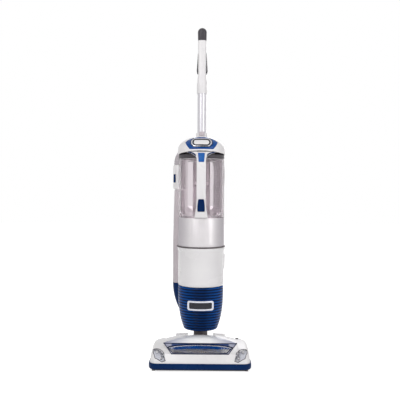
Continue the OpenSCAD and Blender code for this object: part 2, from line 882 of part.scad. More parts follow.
// The front is cut flat at the panel, with a facet each side that leans back, and each of these
// flats runs out in a slope at its head and foot
facet_turn = 34.8;
facet_d = panel_x * sin(facet_turn) + panel_y * cos(facet_turn);
panel_low = band_top + 6;
panel_high = cup_top - 2;
recess_rise = recess_slope / (cup_r - panel_y);
hinge_y = barrel_r - 11.5;

module flat_cut(d, inset) {
  run_out = recess_rise * (cup_r - d);
  over = 20;
  side_prism(4 * cup_r) offset(delta = inset) polygon([
    [-cup_r - over, panel_low - over * recess_rise], [-d, panel_low + run_out],
    [-d, panel_high - 0.3 * run_out], [-cup_r - over, panel_high + 0.3 * over * recess_rise]
  ]);
}

// The cup's form, with its walls moved in by inset
module cup_form(inset, over) {
  difference() {
    translate([0, 0, band_top - over]) cylinder(r = cup_r - inset, h = cup_top - band_top + 2 * over);
    flat_cut(panel_y, inset);
    for (a = [-facet_turn, facet_turn]) rotate(a) flat_cut(facet_d, inset);
  }
}

module dust_cup() {
  color(clear) placed() difference() {
    cup_form(0, 0);
    cup_form(cup_wall, 1);
  }
}

module cup_band() {
  low = barrel_r + 0.5;
  high = cup_r - 0.5;
  color(silver) placed() {
    rotate_extrude() polygon([
      [low - cup_wall, cup_z], [low, cup_z], [high, band_top], [high - cup_wall, band_top]
    ]);
    difference() {
      translate([-9, hinge_y - 4, cup_z + 4.6]) cube([18, 14, 8]);
      rod_x(2 + run, 30, [0, hinge_y, cup_z + 8]);
      difference() {
        translate([0, 0, cup_z]) cylinder(r = 100, h = 30);
        translate([0, 0, cup_z]) cylinder(r = low - cup_wall + 0.6, h = 30);
      }
    }
  }
}

// Door in the bottom of the cup, with its hinge pin at the back
module cup_door() {
  r = barrel_r + 0.5 - cup_wall - 2 * gap;
  color(charcoal) placed() {
    difference() {
      translate([0, 0, cup_z]) cylinder(r = r, h = 4.2);
      for (a = [0 : 60 : 300]) rotate(a) translate([20, -2, cup_z - 1]) cube([40, 4, 2.6]);
    }
    for (x = [-14, 14]) difference() {
      union() {
        rod_x(4, 8, [x, hinge_y, cup_z + 8]);
        translate([x - 4, hinge_y - 4, cup_z + 4]) cube([8, 8, 4]);
      }
      rod_x(2, 10, [x, hinge_y, cup_z + 8]);
    }
    rod_x(2, 36, [0, hinge_y, cup_z + 8]);
  }
}

// Cyclone: a slotted tube with a round foot that hangs from the lid, over a vortex tube
module cyclone() {
  slots = 20;
  slot_w = 3;
  disc_t = 4;
  skin_t = 2.4;
  foot_r = 7;
  low = cup_top - 92;
  color(taupe) placed() {
    difference() {
      rotate_extrude() polygon(concat(
        [[0, low]],
        [for (a = [-90 : 15 : 0]) [shroud_r - foot_r + foot_r * cos(a), low + foot_r + foot_r * sin(a)]],
        [
          [shroud_r, cup_top - disc_t - 8], [shroud_r + 8, cup_top - disc_t],
          [shroud_r + 8, cup_top], [0, cup_top]
        ]
      ));
      translate([0, 0, low + skin_t]) cylinder(r = shroud_r - skin_t, h = cup_top - low - skin_t - disc_t);
      for (i = [0 : slots - 1]) rotate((i + 0.5) * 360 / slots)
        translate([shroud_r - 2 * skin_t, -slot_w / 2, low + 14]) cube([4 * skin_t, slot_w, 58]);
    }
    translate([0, 0, low + 24]) cylinder(r1 = 11, r2 = 15, h = cup_top - low - 24 - disc_t / 2);
  }
}

module cup_lid() {
  color(charcoal) placed() rotate_extrude() polygon([
    [0, cup_top], [cup_r, cup_top], [cup_r + 0.3, cup_top + 1.5], [cup_r + 0.3, lid_top - 2],
    [cup_r - 1.5, lid_top], [62, lid_top + 0.3], [50, lid_top + 3.4], [36, lid_top + 6], [0, lid_top + 7]
  ]);
}

// ---------- Carry handle ----------

bar_y = -(barrel_r + bar_out);
grip_low = band_top + 60;
grip_high = cup_top - 17;
arms_z = lid_top + 7;

module bar_profile() {
  polygon([
    [-barrel_r - 1, arms_z - 0.5], [bar_y + 9, arms_z - 5], [bar_y + 3, grip_high + 20],
    [bar_y + 0.6, grip_high + 8], [bar_y, grip_high - 6], [bar_y, grip_low],
    [bar_y + 2, grip_low - 22], [bar_y + 6, grip_low - 40], [bar_y + 13, band_top + 4],
    [bar_y + 17, band_top + 0.5], [-55, band_top + 0.5], [-55, band_top + 33],
    [bar_y + 27, band_top + 35], [bar_y + bar_t + 4, grip_low - 16], [bar_y + bar_t, grip_low + 2],
    [bar_y + bar_t, grip_high - 10], [bar_y + bar_t + 2, grip_high + 2],
    [bar_y + bar_t + 6, grip_high + 12], [-70, grip_high + 14], [-70, arms_z - 0.5]
  ]);
}

module bar_outline() {
  w = bar_w / 2;
  f = foot_w / 2;
  polygon([
    [-f, band_top], [f, band_top], [f - 2.5, band_top + 6], [w + 4, band_top + 20],
    [w + 1.2, band_top + 36], [w, band_top + 54], [w, grip_high + 8], [w + 2, arms_z],
    [-w - 2, arms_z], [-w, grip_high + 8], [-w, band_top + 54], [-w - 1.2, band_top + 36],
    [-w - 4, band_top + 20], [-f + 2.5, band_top + 6]
  ]);
}

module arms_outline() {
  polygon([
    [-46, arms_z], [-46, arms_z - 2.6], [-36, arms_z - 5], [-26, arms_z - 10], [-19, arms_z - 16],
    [-14, arms_z - 24], [14, arms_z - 24], [19, arms_z - 16], [26, arms_z - 10], [36, arms_z - 5],
    [46, arms_z - 2.6], [46, arms_z]
  ]);
}

module top_button_outline(o) {
  offset(delta = o) polygon([
    [-8.6, grip_high + 3], [8.6, grip_high + 3], [11.2, arms_z - 7], [10.5, arms_z - 4],
    [-10.5, arms_z - 4], [-11.2, arms_z - 7]
  ]);
}

module low_button_outline(o) {
  offset(delta = o) polygon([
    [-10, band_top + 22], [10, band_top + 22], [11.8, band_top + 25], [11.8, band_top + 42],
    [9.5, band_top + 60], [7.5, band_top + 63], [-7.5, band_top + 63], [-9.5, band_top + 60],
    [-11.8, band_top + 42], [-11.8, band_top + 25]
  ]);
}

// Skin of the bar's front, from y0 to y1 behind its surface
module bar_skin(y0, y1) {
  side_prism(bar_w + 20) difference() {
    translate([y0, 0]) bar_profile();
    translate([y1, 0]) bar_profile();
  }
}

module carry_handle() {
  depth = 3 + press + gap;
  color(pearl) placed() difference() {
    union() {
      intersection() {
        side_prism(2 * bar_w) bar_profile();
        front_prism(-far, 0) bar_outline();
      }
      intersection() {
        front_sector(40) translate([cup_r - 2, arms_z - 24]) square([8, 24]);
        front_prism(-far, 0) arms_outline();
      }
    }
    cup_form(-gap, 0);
    translate([0, 0, cup_top - 20]) cylinder(r = cup_r + 2 * gap, h = 60);
    intersection() {
      bar_skin(-1, depth);
      front_prism(-far, 0) {
        top_button_outline(gap);
        low_button_outline(gap);
      }
    }
  }
}

module accent_strips() {
  color(navy) placed() intersection() {
    front_sector(40) translate([cup_r + 6.2, arms_z - 24]) square([1.2, 24]);
    front_prism(-far, 0) for (m = [0, 1]) mirror([m, 0, 0]) polygon([
      [-45, arms_z], [-45, arms_z - 2.4], [-35, arms_z - 4.6], [-25.5, arms_z - 9.4],
      [-18.4, arms_z - 15.5], [-18.4, arms_z - 10], [-24, arms_z - 4.5], [-33, arms_z - 1], [-38, arms_z]
    ]);
  }
}

module cup_button() {
  color(blue) placed() intersection() {
    bar_skin(-1.5, 3);
    front_prism(-far, 0) top_button_outline(0);
  }
}

module door_button() {
  color(navy) placed() intersection() {
    bar_skin(-1.5, 3);
    front_prism(-far, 0) low_button_outline(0);
  }
}

// ---------- Wand and handle ----------

wand_in = 28;

module at_wand(z = 0) {
  placed() translate([0, wand_y, z]) children();
}

module wand() {
  z = socket_z + wall + gap;
  color(pearl) at_wand(z) difference() {
    cylinder(r = wand_r, h = handle_z + wand_in - z);
    translate([0, 0, -1]) cylinder(r = wand_r - 1.6, h = far * 2);
  }
}

// Height above the wand, half width, and reach to the front and to the back
cap_h = 44;
bar_top = handle_l - cap_h;
shell_stations = [
  [0, 16.6, 16.6, 16.6], [3, 17.8, 17.8, 17.8], [30, 17.7, 17.6, 18], [42, 16.8, 16.4, 18],
  [52, 15.2, 14.6, 17.5], [62, 13.8, 13.2, 16.5], [78, 13.2, 12.4, 14], [100, 13.4, 12, 11],
  [130, 13.6, 11.5, 9], [160, 14, 11.2, 8.5], [bar_top, 14.6, 11, 8.5]
];
// Rounded rectangle section: a power of the cosine and sine below 1 squares it off
squarish = 0.7;
function power(c) = sign(c) * pow(abs(c), squarish);
function shell_ring(t, n) = [
  for (i = [0 : n - 1])
    let (a = 360 * i / n, e = t[0] < 35 ? 1 : squarish, c = cos(a), d = sin(a))
    [t[1] * sign(c) * pow(abs(c), e), (d > 0 ? t[3] : t[2]) * sign(d) * pow(abs(d), e), t[0]]
];

// The loop behind the bar, as two curves in the Y-Z plane, from the bar's foot to the cap
loop_low = [[0, 4, 66], [0, 30, 58], [0, grip_back, 72], [0, grip_back, 110]];
loop_high = [[0, grip_back, 110], [0, grip_back, 146], [0, grip_back - 4, 176], [0, 28, 194]];
function loop_point(t) = t < 1 ? bezier(loop_low, t) : bezier(loop_high, t - 1);
function loop_ring(t, rx, ry, n) =
  let (
    d = unit(loop_point(min(2, t + 0.01)) - loop_point(max(0, t - 0.01))),
    w = cross([1, 0, 0], d)
  ) ring(loop_point(t), [1, 0, 0], -w, rx, ry, n);

core_rx = 13;
core_ry = 11;
core_steps = 20;
module loop_core(extra) {
  skin([for (i = [0 : core_steps]) loop_ring(2 * i / core_steps, core_rx + extra, core_ry + extra, 20)]);
}

module handle_shell() {
  color(pearl) at_wand(handle_z) difference() {
    union() {
      skin([for (t = shell_stations) shell_ring(t, 28)]);
      loop_core(0);
    }
    translate([0, 0, -1]) cylinder(r = wand_r + gap, h = wand_in + 1 + gap);
  }
}

// Rings of the loop at which the soft grip starts and ends
grip_from = 7;
grip_to = 15;

module handle_grip() {
  rings = [grip_from : grip_to];
  lip = 2;
  color(charcoal) at_wand(handle_z) tube_skin(
    [
      for (i = rings)
        let (e = i == grip_from || i == grip_to ? lip : 0)
          loop_ring(2 * i / core_steps, grip_rx - e, grip_ry - e, 20)
    ],
    [for (i = rings) loop_ring(2 * i / core_steps, core_rx + gap, core_ry + gap, 20)]
  );
}

module handle_cap() {
  r = 15.5;
  color(charcoal) at_wand(handle_z) difference() {
    hull() {
      translate([0, -1.2, bar_top + 0.01]) linear_extrude(1) hull() {
        for (x = [-1, 1]) translate([x * 8, -3]) circle(r = 6.6, $fn = 32);
        for (x = [-1, 1]) translate([x * 8, 3]) circle(r = 6.6, $fn = 32);
      }
      translate([0, 1, handle_l - r]) sphere(r = r, $fn = 32);
      translate([0, 32, handle_l - r - 10]) sphere(r = r - 1, $fn = 32);
    }
    loop_core(gap);
  }
}

// ---------- Neck and swivel ----------

trunnion_r = 8;
trunnion_l = 8;
pod_in = 44;
neck_w = 2 * (pod_in - 2 * gap) - 2;
spigot_top = base_z - 2 * gap;
swivel_h = 14;
neck_bore = 17;
swivel_r = neck_r - 2;

module neck_yoke() {
  color(taupe) placed() difference() {
    union() {
      rod_x(neck_r, neck_w, [0, pivot_y, wheel_r]);
      rod_x(trunnion_r, neck_w + 2 * trunnion_l, [0, pivot_y, wheel_r]);
      translate([0, pivot_y, wheel_r]) cylinder(r = neck_r, h = base_z - swivel_h - gap - wheel_r);
      translate([0, pivot_y, wheel_r]) cylinder(r = swivel_r, h = spigot_top - wheel_r);
    }
    translate([0, pivot_y, wheel_r]) cylinder(r = neck_bore, h = far);
    rod_y(neck_bore - 3, neck_r + 10, [0, pivot_y - neck_r - 10, wheel_r]);
  }
}

module swivel_collar() {
  color(navy) placed() translate([0, pivot_y, base_z - swivel_h]) difference() {
    union() {
      cylinder(r = neck_r + 6, h = swivel_h);
      translate([-6, 22, 0]) cylinder(r = duct_r, h = swivel_h);
    }
    translate([0, 0, -1]) cylinder(r = swivel_r + run, h = swivel_h + 2);
  }
}

// ---------- Floor nozzle ----------

half_w = nozzle_w / 2;
nozzle_rear = 6;
// Half width of the window's zone, between the shoulders
zone = half_w - 38;
front_corner = 22;
rear_corner = 42;
side_round = 14;
plate_t = 3.3;
deck_slope = 0.19;
deck_end = 104;
brow_back = 60;
brow_low = face_z + deck_slope * (face_y - deck_end);
brow_seat = brow_low - plate_t;
bumper_top = clearance + bumper_h;

function front_at(u) = -nozzle_front + corner(u, half_w, front_corner);
function rear_at(u) = nozzle_rear - corner(u, half_w, rear_corner);
function deck_at(y) = face_z + deck_slope * (y + face_y);
function brow_at(u) = brow_low + (brow_z - brow_low) * (1 - pow(u / zone, 2));
// The brow's rear edge comes forward towards its ends
function brow_rear(u) = -brow_back - (deck_end - brow_back - 2) * pow(u / zone, 2);

// Section of the hull in the window's zone: front face, deck, step up behind the brow, rear
function zone_ring(u) =
  let (h = brow_at(u) - 2, f = front_at(u), b = brow_rear(u))
  [
    [f, clearance], [f, bumper_top], [-face_y - 7, bumper_top + 0.45 * (face_z - bumper_top)],
    [-face_y, deck_at(-face_y)], [-125, deck_at(-125)], [-deck_end, deck_at(-deck_end)],
    [-deck_end + 0.2, brow_seat], [b, brow_seat], [b, h], [-35, h - 1],
    [-14, h - 4], [nozzle_rear - 3, h - 13], [nozzle_rear, h - 24], [nozzle_rear, wheel_r],
    [nozzle_rear, clearance]
  ];

// Section of a shoulder beside the window: shares of its depth and of its height over the bumper
shoulder_share = [
  [0, 0], [0.03, 0.42], [0.07, 0.66], [0.16, 0.82], [0.3, 0.9], [0.42, 0.95], [0.62, 1],
  [0.68, 1], [0.8, 1], [0.9, 0.96], [0.97, 0.8], [0.995, 0.5]
];
function shoulder_ring(u) =
  let (
    f = front_at(u), r = rear_at(u),
    top = shoulder_z + 6 - 6 * (u - zone) / (half_w - zone) - corner(u, half_w, side_round)
  )
  [
    [f, clearance],
    for (p = shoulder_share) [f + p[0] * (r - f), bumper_top + p[1] * (top - bumper_top)],
    [r, bumper_top], [r, clearance]
  ];
function hull_ring(x) =
  let (u = abs(x)) [for (p = u < zone ? zone_ring(u) : shoulder_ring(u)) [x, p[0], p[1]]];

side_stations = [0, 0.4, 2, 5, 9, 14, 22];
right_stations = concat(
  [for (x = [10 : 18 : 100]) x], [zone - 0.1, zone + 4],
  [for (i = [len(side_stations) - 1 : -1 : 0]) half_w - side_stations[i]]
);
stations = concat(
  [for (i = [len(right_stations) - 1 : -1 : 0]) right_stations[i]], [for (x = right_stations) -x]
);

module hull_form(list) {
  skin([for (x = list) hull_ring(x)]);
}

module plan_outline() {
  polygon(concat(
    [for (x = stations) [x, front_at(abs(x))]],
    [for (i = [len(stations) - 1 : -1 : 0]) [stations[i], rear_at(abs(stations[i]))]]
  ));
}

// Brush chamber, wide at the bristles and narrow at the pulley and bearings, motor bay and belt bay:
// all are open at the bottom
chamber_x = half_w - 30;
bristle_x = half_w - 51;
chamber_r = brush_r + 1.5;
chamber_end_r = 18.2;
brush_z = brush_r + 3;
bay_y = 75;
bay_z = 38;
motor_r = 17;
motor_l = 66;
belt_x = half_w - 43;
belt_w = 8;
wheel_x0 = 57.5;
wheel_gap = 1.2;
pod_out = wheel_x0 + wheel_w + 2 * wheel_gap + 5;
pod_r = wheel_r + 5;
axle_r = 4;
roller_x = half_w - 11;
roller_y = nozzle_front - 17;
roller_w = 10;
roller_pin_r = 1.6;

module pod() {
  well_r = wheel_r + 1.3;
  difference() {
    union() {
      translate([pod_in, pivot_y, wheel_r]) rotate([0, 90, 0])
        cylinder(r1 = pod_r + 3, r2 = pod_r, h = pod_out - pod_in);
      translate([pod_in, -20, clearance])
        cube([pod_out - pod_in, pivot_y + 20, wheel_r + pod_r - 4 - clearance]);
    }
    translate([0, -far / 2, clearance - far]) cube(far);
    rod_x(well_r, wheel_w + 2 * wheel_gap, [wheel_x0 + wheel_gap + wheel_w / 2, pivot_y, wheel_r]);
    translate([wheel_x0, pivot_y - well_r, 0]) cube([wheel_w + 2 * wheel_gap, 2 * well_r, wheel_r]);
    rod_x(trunnion_r + run, 24, [pod_in - 3, pivot_y, wheel_r]);
    rod_x(axle_r + run, 80, [pod_in + 9.6 + 40, pivot_y, wheel_r]);
  }
}

// Headlight in the front corner: an outline on a plane that leans with the corner, and a prism on it
lamp_tilt = 24.7;
lamp_floor = 104;
lamp_plate = 1.6;
// Corners of its outline, from the nozzle's side inwards and from the barrel's axis forwards
lamp_corners = [[7, 99], [18, 100], [29, 107], [42, 130], [49, 155], [38, 158], [16, 149], [8, 122]];
module lamp_prism(o, z0, z1) {
  rotate([lamp_tilt, 0, 0]) translate([0, 0, z0]) linear_extrude(z1 - z0) offset(delta = o)
    polygon([for (p = lamp_corners) [half_w - p[0], -p[1]]]);
}

module both_sides() {
  children();
  mirror([1, 0, 0]) children();
}

module chamber_cut(r, w) {
  rod_x(r, w, [0, -brush_y, brush_z]);
  translate([-w / 2, -brush_y - r, -1]) cube([w, 2 * r, brush_z + 1]);
}

module nozzle_hull() {
  color(pearl) placed() difference() {
    union() {
      hull_form(stations);
      both_sides() pod();
      translate([-pod_in - 1, 0, clearance]) cube([2 * pod_in + 2, pivot_y - 10, wheel_r - clearance]);
    }
    // Brush chamber and its window, belt bay, motor bay and suction passage
    chamber_cut(chamber_r, 2 * bristle_x);
    chamber_cut(chamber_end_r, 2 * chamber_x);
    on_slope(-plate_t - 14) linear_extrude(40) window_outline(-ledge);
    translate([belt_x - belt_w / 2 - 3, -brush_y, 0]) cube([belt_w + 6, brush_y - 50, 48]);
    translate([belt_x - motor_l - 22, -bay_y - 21, 0]) cube([motor_l + 17, 42, bay_z + motor_r + gap]);
    translate([-40, chamber_r - brush_y - 1, 0]) cube([62, brush_y - chamber_r + 8, 44]);
    // Recess for the silver frame
    on_slope(-plate_t) linear_extrude(40) frame_outline(gap);
    // Room for the neck and for the front rollers
    side_prism(2 * pod_in - 4) polygon([[-46, far], [-46, 72], [-30, 60], [40, 56], [40, far]]);
    translate([-40, -1, 14]) cube([80, 50, 15]);
    rod_x(neck_r + 2 * gap, 2 * pod_in, [0, pivot_y, wheel_r]);
    both_sides() {
      translate([roller_x - roller_w / 2 - 1, -roller_y - roller_r - 1.5, 0])
        cube([roller_w + 2, 2 * roller_r + 3, roller_r * 2 + 1.5]);
      lamp_prism(gap, lamp_floor, 140);
    }
    translate([10 - half_w, -30, shoulder_z - 2]) cube([12, 4, 10]);
    translate([half_w - 34, -26, shoulder_z - 0.5]) cylinder(r = 4.8, h = 10);
  }
}

module nozzle_lenses() {
  color(clear) placed() {
    intersection() {
      hull_form(stations);
      both_sides() lamp_prism(0, lamp_floor + lamp_plate + 0.3, 140);
    }
    translate([half_w - 34, -26, shoulder_z - 0.2]) cylinder(r = 4.4, h = 6);
  }
}

module headlight_reflectors() {
  color(chrome) placed() difference() {
    intersection() {
      hull_form(stations);
      both_sides() lamp_prism(-0.1, lamp_floor + 0.05, lamp_floor + lamp_plate);
    }
    both_sides() rotate([lamp_tilt, 0, 0]) for (p = [[20, 112], [35, 140]])
      translate([half_w - p[0], -p[1], lamp_floor + 10]) sphere(r = 9.2, $fn = 48);
  }
}

module sole_plate() {
  t = clearance - 5;
  color(charcoal) placed() translate([0, 0, clearance - t]) difference() {
    linear_extrude(t) offset(delta = -2) plan_outline();
    translate([-bristle_x, -brush_y - chamber_r, -1]) cube([2 * bristle_x, 2 * chamber_r, t + 2]);
    both_sides() {
      translate([roller_x - roller_w / 2 - 1.5, -roller_y - roller_r - 2, -1])
        cube([roller_w + 3, 2 * roller_r + 4, t + 2]);
      hull() for (z = [0, t]) rod_x(roller_pin_r + run, 18, [roller_x, -roller_y, roller_r + t - clearance + z]);
    }
  }
}

module bumper_layer(z0, z1, t) {
  translate([0, 0, z0]) linear_extrude(z1 - z0) difference() {
    offset(r = t) plan_outline();
    offset(delta = gap) plan_outline();
    translate([-far, -120]) square([2 * far, far]);
  }
}

module bumper() {
  lip = 2.5;
  color(navy) placed() {
    bumper_layer(clearance, clearance + lip, bumper_t - 1.6);
    bumper_layer(clearance + lip, bumper_top - lip, bumper_t);
    bumper_layer(bumper_top - lip, bumper_top, bumper_t - 1.6);
  }
}

// Sloping plane of the window: x across, y up the slope from the front face's top edge
slope_a = atan(deck_slope);
module on_slope(lift) {
  translate([0, -face_y, face_z]) rotate([slope_a, 0, 0]) translate([0, 0, lift]) children();
}

// Right half of the window's outline: share of the zone's half width, and distance up the slope
window_points = [[0.712, 6], [0.873, 46], [0.814, 51], [0.661, 58], [0.466, 63.5], [0.237, 67]];
module window_outline(o) {
  offset(delta = o) polygon(concat(
    [for (p = window_points) [p[0] * zone, p[1]]],
    [[0, 68.2]],
    [for (i = [len(window_points) - 1 : -1 : 0]) [-window_points[i][0] * zone, window_points[i][1]]]
  ));
}

// Ledge that the window rests on
ledge = 3;
frame_top = (face_y - deck_end) / cos(slope_a);
frame_low = 0.754 * zone;
module frame_outline(o) {
  polygon([[-frame_low - o, -o], [frame_low + o, -o], [zone - 1.2 + o, frame_top], [-zone + 1.2 - o, frame_top]]);
}

module silver_frame() {
  n = 20;
  color(chrome) placed() {
    on_slope(-plate_t + 0.05) linear_extrude(plate_t - 0.1) difference() {
      frame_outline(0);
      window_outline(0);
    }
    skin([
      for (i = [0 : n])
        let (
          x = (zone - 0.8) * (1 - 2 * i / n),
          h = brow_at(abs(x)) - brow_low + 0.4,
          y0 = -deck_end - 1.5,
          l = brow_rear(abs(x)) - gap - y0
        )
        [
          for (p = [
            [0, brow_seat + 0.05], [0, brow_low - 0.2], [0.1, brow_low + 0.3 * h],
            [0.24, brow_low + 0.68 * h], [0.4, brow_low + 0.92 * h], [0.55, brow_low + h],
            [0.9, brow_low + h], [1, brow_low + h - 1.5], [1, brow_seat + 0.05]
          ]) [x, y0 + p[0] * l, p[1]]
        ]
    ]);
  }
}

module brush_window() {
  color(clear) placed() on_slope(-plate_t + 0.4) linear_extrude(2.4) window_outline(-gap);
}

module window_band() {
  color(blue) placed() on_slope(-plate_t - 2.3) linear_extrude(2) intersection() {
    window_outline(-ledge - gap);
    difference() {
      translate([-far / 2, 42]) square([far, far]);
      polygon([[-0.56 * zone, 40], [0.56 * zone, 40], [0.39 * zone, 45], [-0.39 * zone, 45]]);
    }
  }
}

module brush_motor() {
  color(steel) placed() {
    rod_x(motor_r, motor_l, [belt_x - 18 - motor_l / 2, -bay_y, bay_z]);
    rod_x(8, 6, [belt_x - 15, -bay_y, bay_z]);
  }
}

module motor_pulley() {
  color(steel) placed() {
    rod_x(2.5, 14.5, [belt_x - 3.5, -bay_y, bay_z]);
    rod_x(6, belt_w, [belt_x, -bay_y, bay_z]);
    for (x = [-1, 1]) rod_x(8, 1, [belt_x + x * (belt_w / 2 + 0.5), -bay_y, bay_z]);
  }
}

brush_pulley_r = 15;
module drive_belt() {
  inner = 6 + gap;
  color(black) placed() translate([belt_x - belt_w / 2 + 0.5, 0, 0]) rotate([90, 0, 90])
    linear_extrude(belt_w - 1) difference() {
      hull() {
        translate([-brush_y, brush_z]) circle(r = brush_pulley_r + gap + 1.8);
        translate([-bay_y, bay_z]) circle(r = inner + 1.8);
      }
      hull() {
        translate([-brush_y, brush_z]) circle(r = brush_pulley_r + gap);
        translate([-bay_y, bay_z]) circle(r = inner);
      }
    }
}

module brush_bearings() {
  color(charcoal) placed() for (x = [-1, 1]) difference() {
    translate([x * (chamber_x - 2 - gap) - 2, -brush_y - 13, clearance])
      cube([4, 26, brush_z + 10 - clearance]);
    rod_x(4 + run, 12, [x * (chamber_x - 2), -brush_y, brush_z]);
  }
}

core_r = 18;
core_l = 2 * bristle_x - 2;
module brushroll() {
  color(silver) placed() {
    rod_x(core_r, core_l, [0, -brush_y, brush_z]);
    rod_x(4, 2 * (chamber_x - 1.2), [0, -brush_y, brush_z]);
    rod_x(brush_pulley_r, belt_w, [belt_x, -brush_y, brush_z]);
  }
}

// Two rows of tufts wind round the core
tufts = 26;
module brush_bristles() {
  color(black) placed() for (row = [0, 1], i = [0 : tufts - 1])
    translate([(i - (tufts - 1) / 2) * (core_l - 14) / (tufts - 1), -brush_y, brush_z])
      rotate([row * 180 + abs(i - (tufts - 1) / 2) * 10, 0, 0])
        translate([0, 0, core_r + 0.05]) cylinder(r = 2.2, h = brush_r - core_r, $fn = 8);
}

module wheel_axles() {
  l = pod_out - pod_in - 10.5;
  color(steel) placed() both_sides() {
    rod_x(axle_r, l, [pod_out - l / 2 - 0.2, pivot_y, wheel_r]);
    rod_x(roller_pin_r, 17.4, [roller_x, -roller_y, roller_r]);
  }
}

module wheel() {
  color(charcoal) translate([wheel_x0 + wheel_gap, pivot_y, wheel_r]) rotate([0, 90, 0])
    rotate_extrude() polygon([
      [axle_r + run, 1], [9, 0], [10, 4], [wheel_r - 10, 4], [wheel_r - 8, 0], [wheel_r - 2, 0],
      [wheel_r, 2.5], [wheel_r, wheel_w - 2.5], [wheel_r - 2, wheel_w], [wheel_r - 8, wheel_w],
      [wheel_r - 10, wheel_w - 4], [10, wheel_w - 4], [9, wheel_w], [axle_r + run, wheel_w - 1]
    ]);
}

module right_wheel() {
  placed() wheel();
}

module left_wheel() {
  placed() mirror([1, 0, 0]) wheel();
}

module roller(side) {
  color(black) placed() difference() {
    rod_x(roller_r, roller_w, [side * roller_x, -roller_y, roller_r]);
    rod_x(roller_pin_r + run, roller_w + 2, [side * roller_x, -roller_y, roller_r]);
  }
}

module left_roller() {
  roller(-1);
}

module right_roller() {
  roller(1);
}

nozzle_hull();
sole_plate();
bumper();
silver_frame();
brush_window();
window_band();
nozzle_lenses();
headlight_reflectors();
brush_motor();
drive_belt();
brush_bearings();
wheel_axles();
brushroll();
brush_bristles();
motor_pulley();
left_wheel();
right_wheel();
left_roller();
right_roller();
neck_yoke();
swivel_collar();
motor_base();
motor_mount();
fan_motor();
fan_cover();
fan_rotor();
hepa_filter();
ribbed_cover();
cover_frame();
filter_housing();
pre_filters();
seal_ring();
side_duct();
duct_foot();
hose_cuff();
cuff_button();
hose();
hose_port();
spine();
upper_cord_hook();
cord_gland();
tool_post();
top_housing();
blue_panel();
badge_plate();
power_switch();
wand_button();
dust_cup();
cup_band();
cup_door();
cyclone();
cup_lid();
carry_handle();
accent_strips();
cup_button();
door_button();
wand();
handle_shell();
handle_grip();
handle_cap();
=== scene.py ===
# %% [markdown]
# # Upright vacuum cleaner
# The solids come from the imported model: sixty named nodes on the bodies of its joints. This lesson gives
# them their finishes, softens the edges of the moulded shells and adds the fine pieces: the ribs of the
# hose, the tufts of the brush, lamps, screws and trim. Everything is in metres, in the solids' own frame,
# so each piece goes where the solids say.

# %% Load the solids
import bpy
import json
import math
from mathutils import Matrix, Vector


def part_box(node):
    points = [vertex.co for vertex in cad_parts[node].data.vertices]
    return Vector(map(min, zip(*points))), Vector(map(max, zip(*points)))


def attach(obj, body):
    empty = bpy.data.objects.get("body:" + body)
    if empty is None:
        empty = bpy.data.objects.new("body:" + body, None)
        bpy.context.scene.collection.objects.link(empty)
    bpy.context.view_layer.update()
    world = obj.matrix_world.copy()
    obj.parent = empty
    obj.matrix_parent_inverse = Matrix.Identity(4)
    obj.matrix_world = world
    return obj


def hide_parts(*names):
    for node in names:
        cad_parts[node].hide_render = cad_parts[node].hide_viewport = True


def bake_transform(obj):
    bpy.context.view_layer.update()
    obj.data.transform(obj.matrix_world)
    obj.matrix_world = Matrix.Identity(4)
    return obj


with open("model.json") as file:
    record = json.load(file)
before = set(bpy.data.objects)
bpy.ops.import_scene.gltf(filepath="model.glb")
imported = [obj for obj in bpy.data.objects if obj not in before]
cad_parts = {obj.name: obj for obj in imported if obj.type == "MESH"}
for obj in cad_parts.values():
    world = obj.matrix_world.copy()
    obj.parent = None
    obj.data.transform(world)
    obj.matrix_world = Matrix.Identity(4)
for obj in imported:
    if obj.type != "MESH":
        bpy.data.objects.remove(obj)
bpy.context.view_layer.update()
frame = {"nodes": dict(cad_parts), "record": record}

# %% [markdown]
# ## Camera
# The cleaner is seen from the front at half its height, from two metres away and a hair to one side. The
# camera doesn't look up or down, and its lens is shifted instead, which keeps upright lines upright. It is
# rolled by a third of a degree.

# %% Place the camera
barrel_y = 0.026
eye_away = 2.1
eye_turn = math.radians(0.3)
eye_height = 0.580
eye_roll = math.radians(0.35)

bpy.ops.object.select_all(action="DESELECT")
bpy.ops.object.camera_add(
    location=(eye_away * math.sin(eye_turn), barrel_y - eye_away * math.cos(eye_turn), eye_height),
    rotation=(math.pi / 2, 0, eye_turn),
)
camera = bpy.context.object
camera.rotation_euler.rotate_axis("Z", eye_roll)
camera.data.sensor_width = 36
camera.data.lens = 55.6
camera.data.shift_x = -0.0034
camera.data.shift_y = -0.0375
bpy.context.scene.camera = camera
bpy.context.scene.view_settings.view_transform = "Standard"
print("camera at", [round(v, 3) for v in camera.location])

# %% [markdown]
# ## Node helpers
# Finishes are node trees. Small helpers keep them readable: they add a node with its settings and inputs, a
# sum between two values, a stretched range and a mix of two colours. The last one turns a colour given on a
# screen into the light values that shaders work in.

# %% Node helpers
def add(tree, kind, settings=None, **inputs):
    """A shader node; an input is a plain value or the socket that feeds it"""
    made = tree.nodes.new("ShaderNode" + kind)
    for key, value in (settings or {}).items():
        setattr(made, key, value)
    for key, value in inputs.items():
        socket = made.inputs[key.replace("_", " ")]
        if isinstance(value, bpy.types.NodeSocket):
            tree.links.new(value, socket)
        else:
            socket.default_value = value
    return made


def maths(tree, operation, *values):
    """The result of a sum; each value is a number or the socket that feeds it"""
    made = add(tree, "Math", {"operation": operation})
    for index, value in enumerate(values):
        if isinstance(value, bpy.types.NodeSocket):
            tree.links.new(value, made.inputs[index])
        else:
            made.inputs[index].default_value = value
    return made.outputs[0]


def spread(tree, value, low, high, to_low=0.0, to_high=1.0):
    """Stretches the range low to high of a value to another range"""
    made = add(tree, "MapRange", Value=value, From_Min=low, From_Max=high, To_Min=to_low, To_Max=to_high)
    return made.outputs[0]


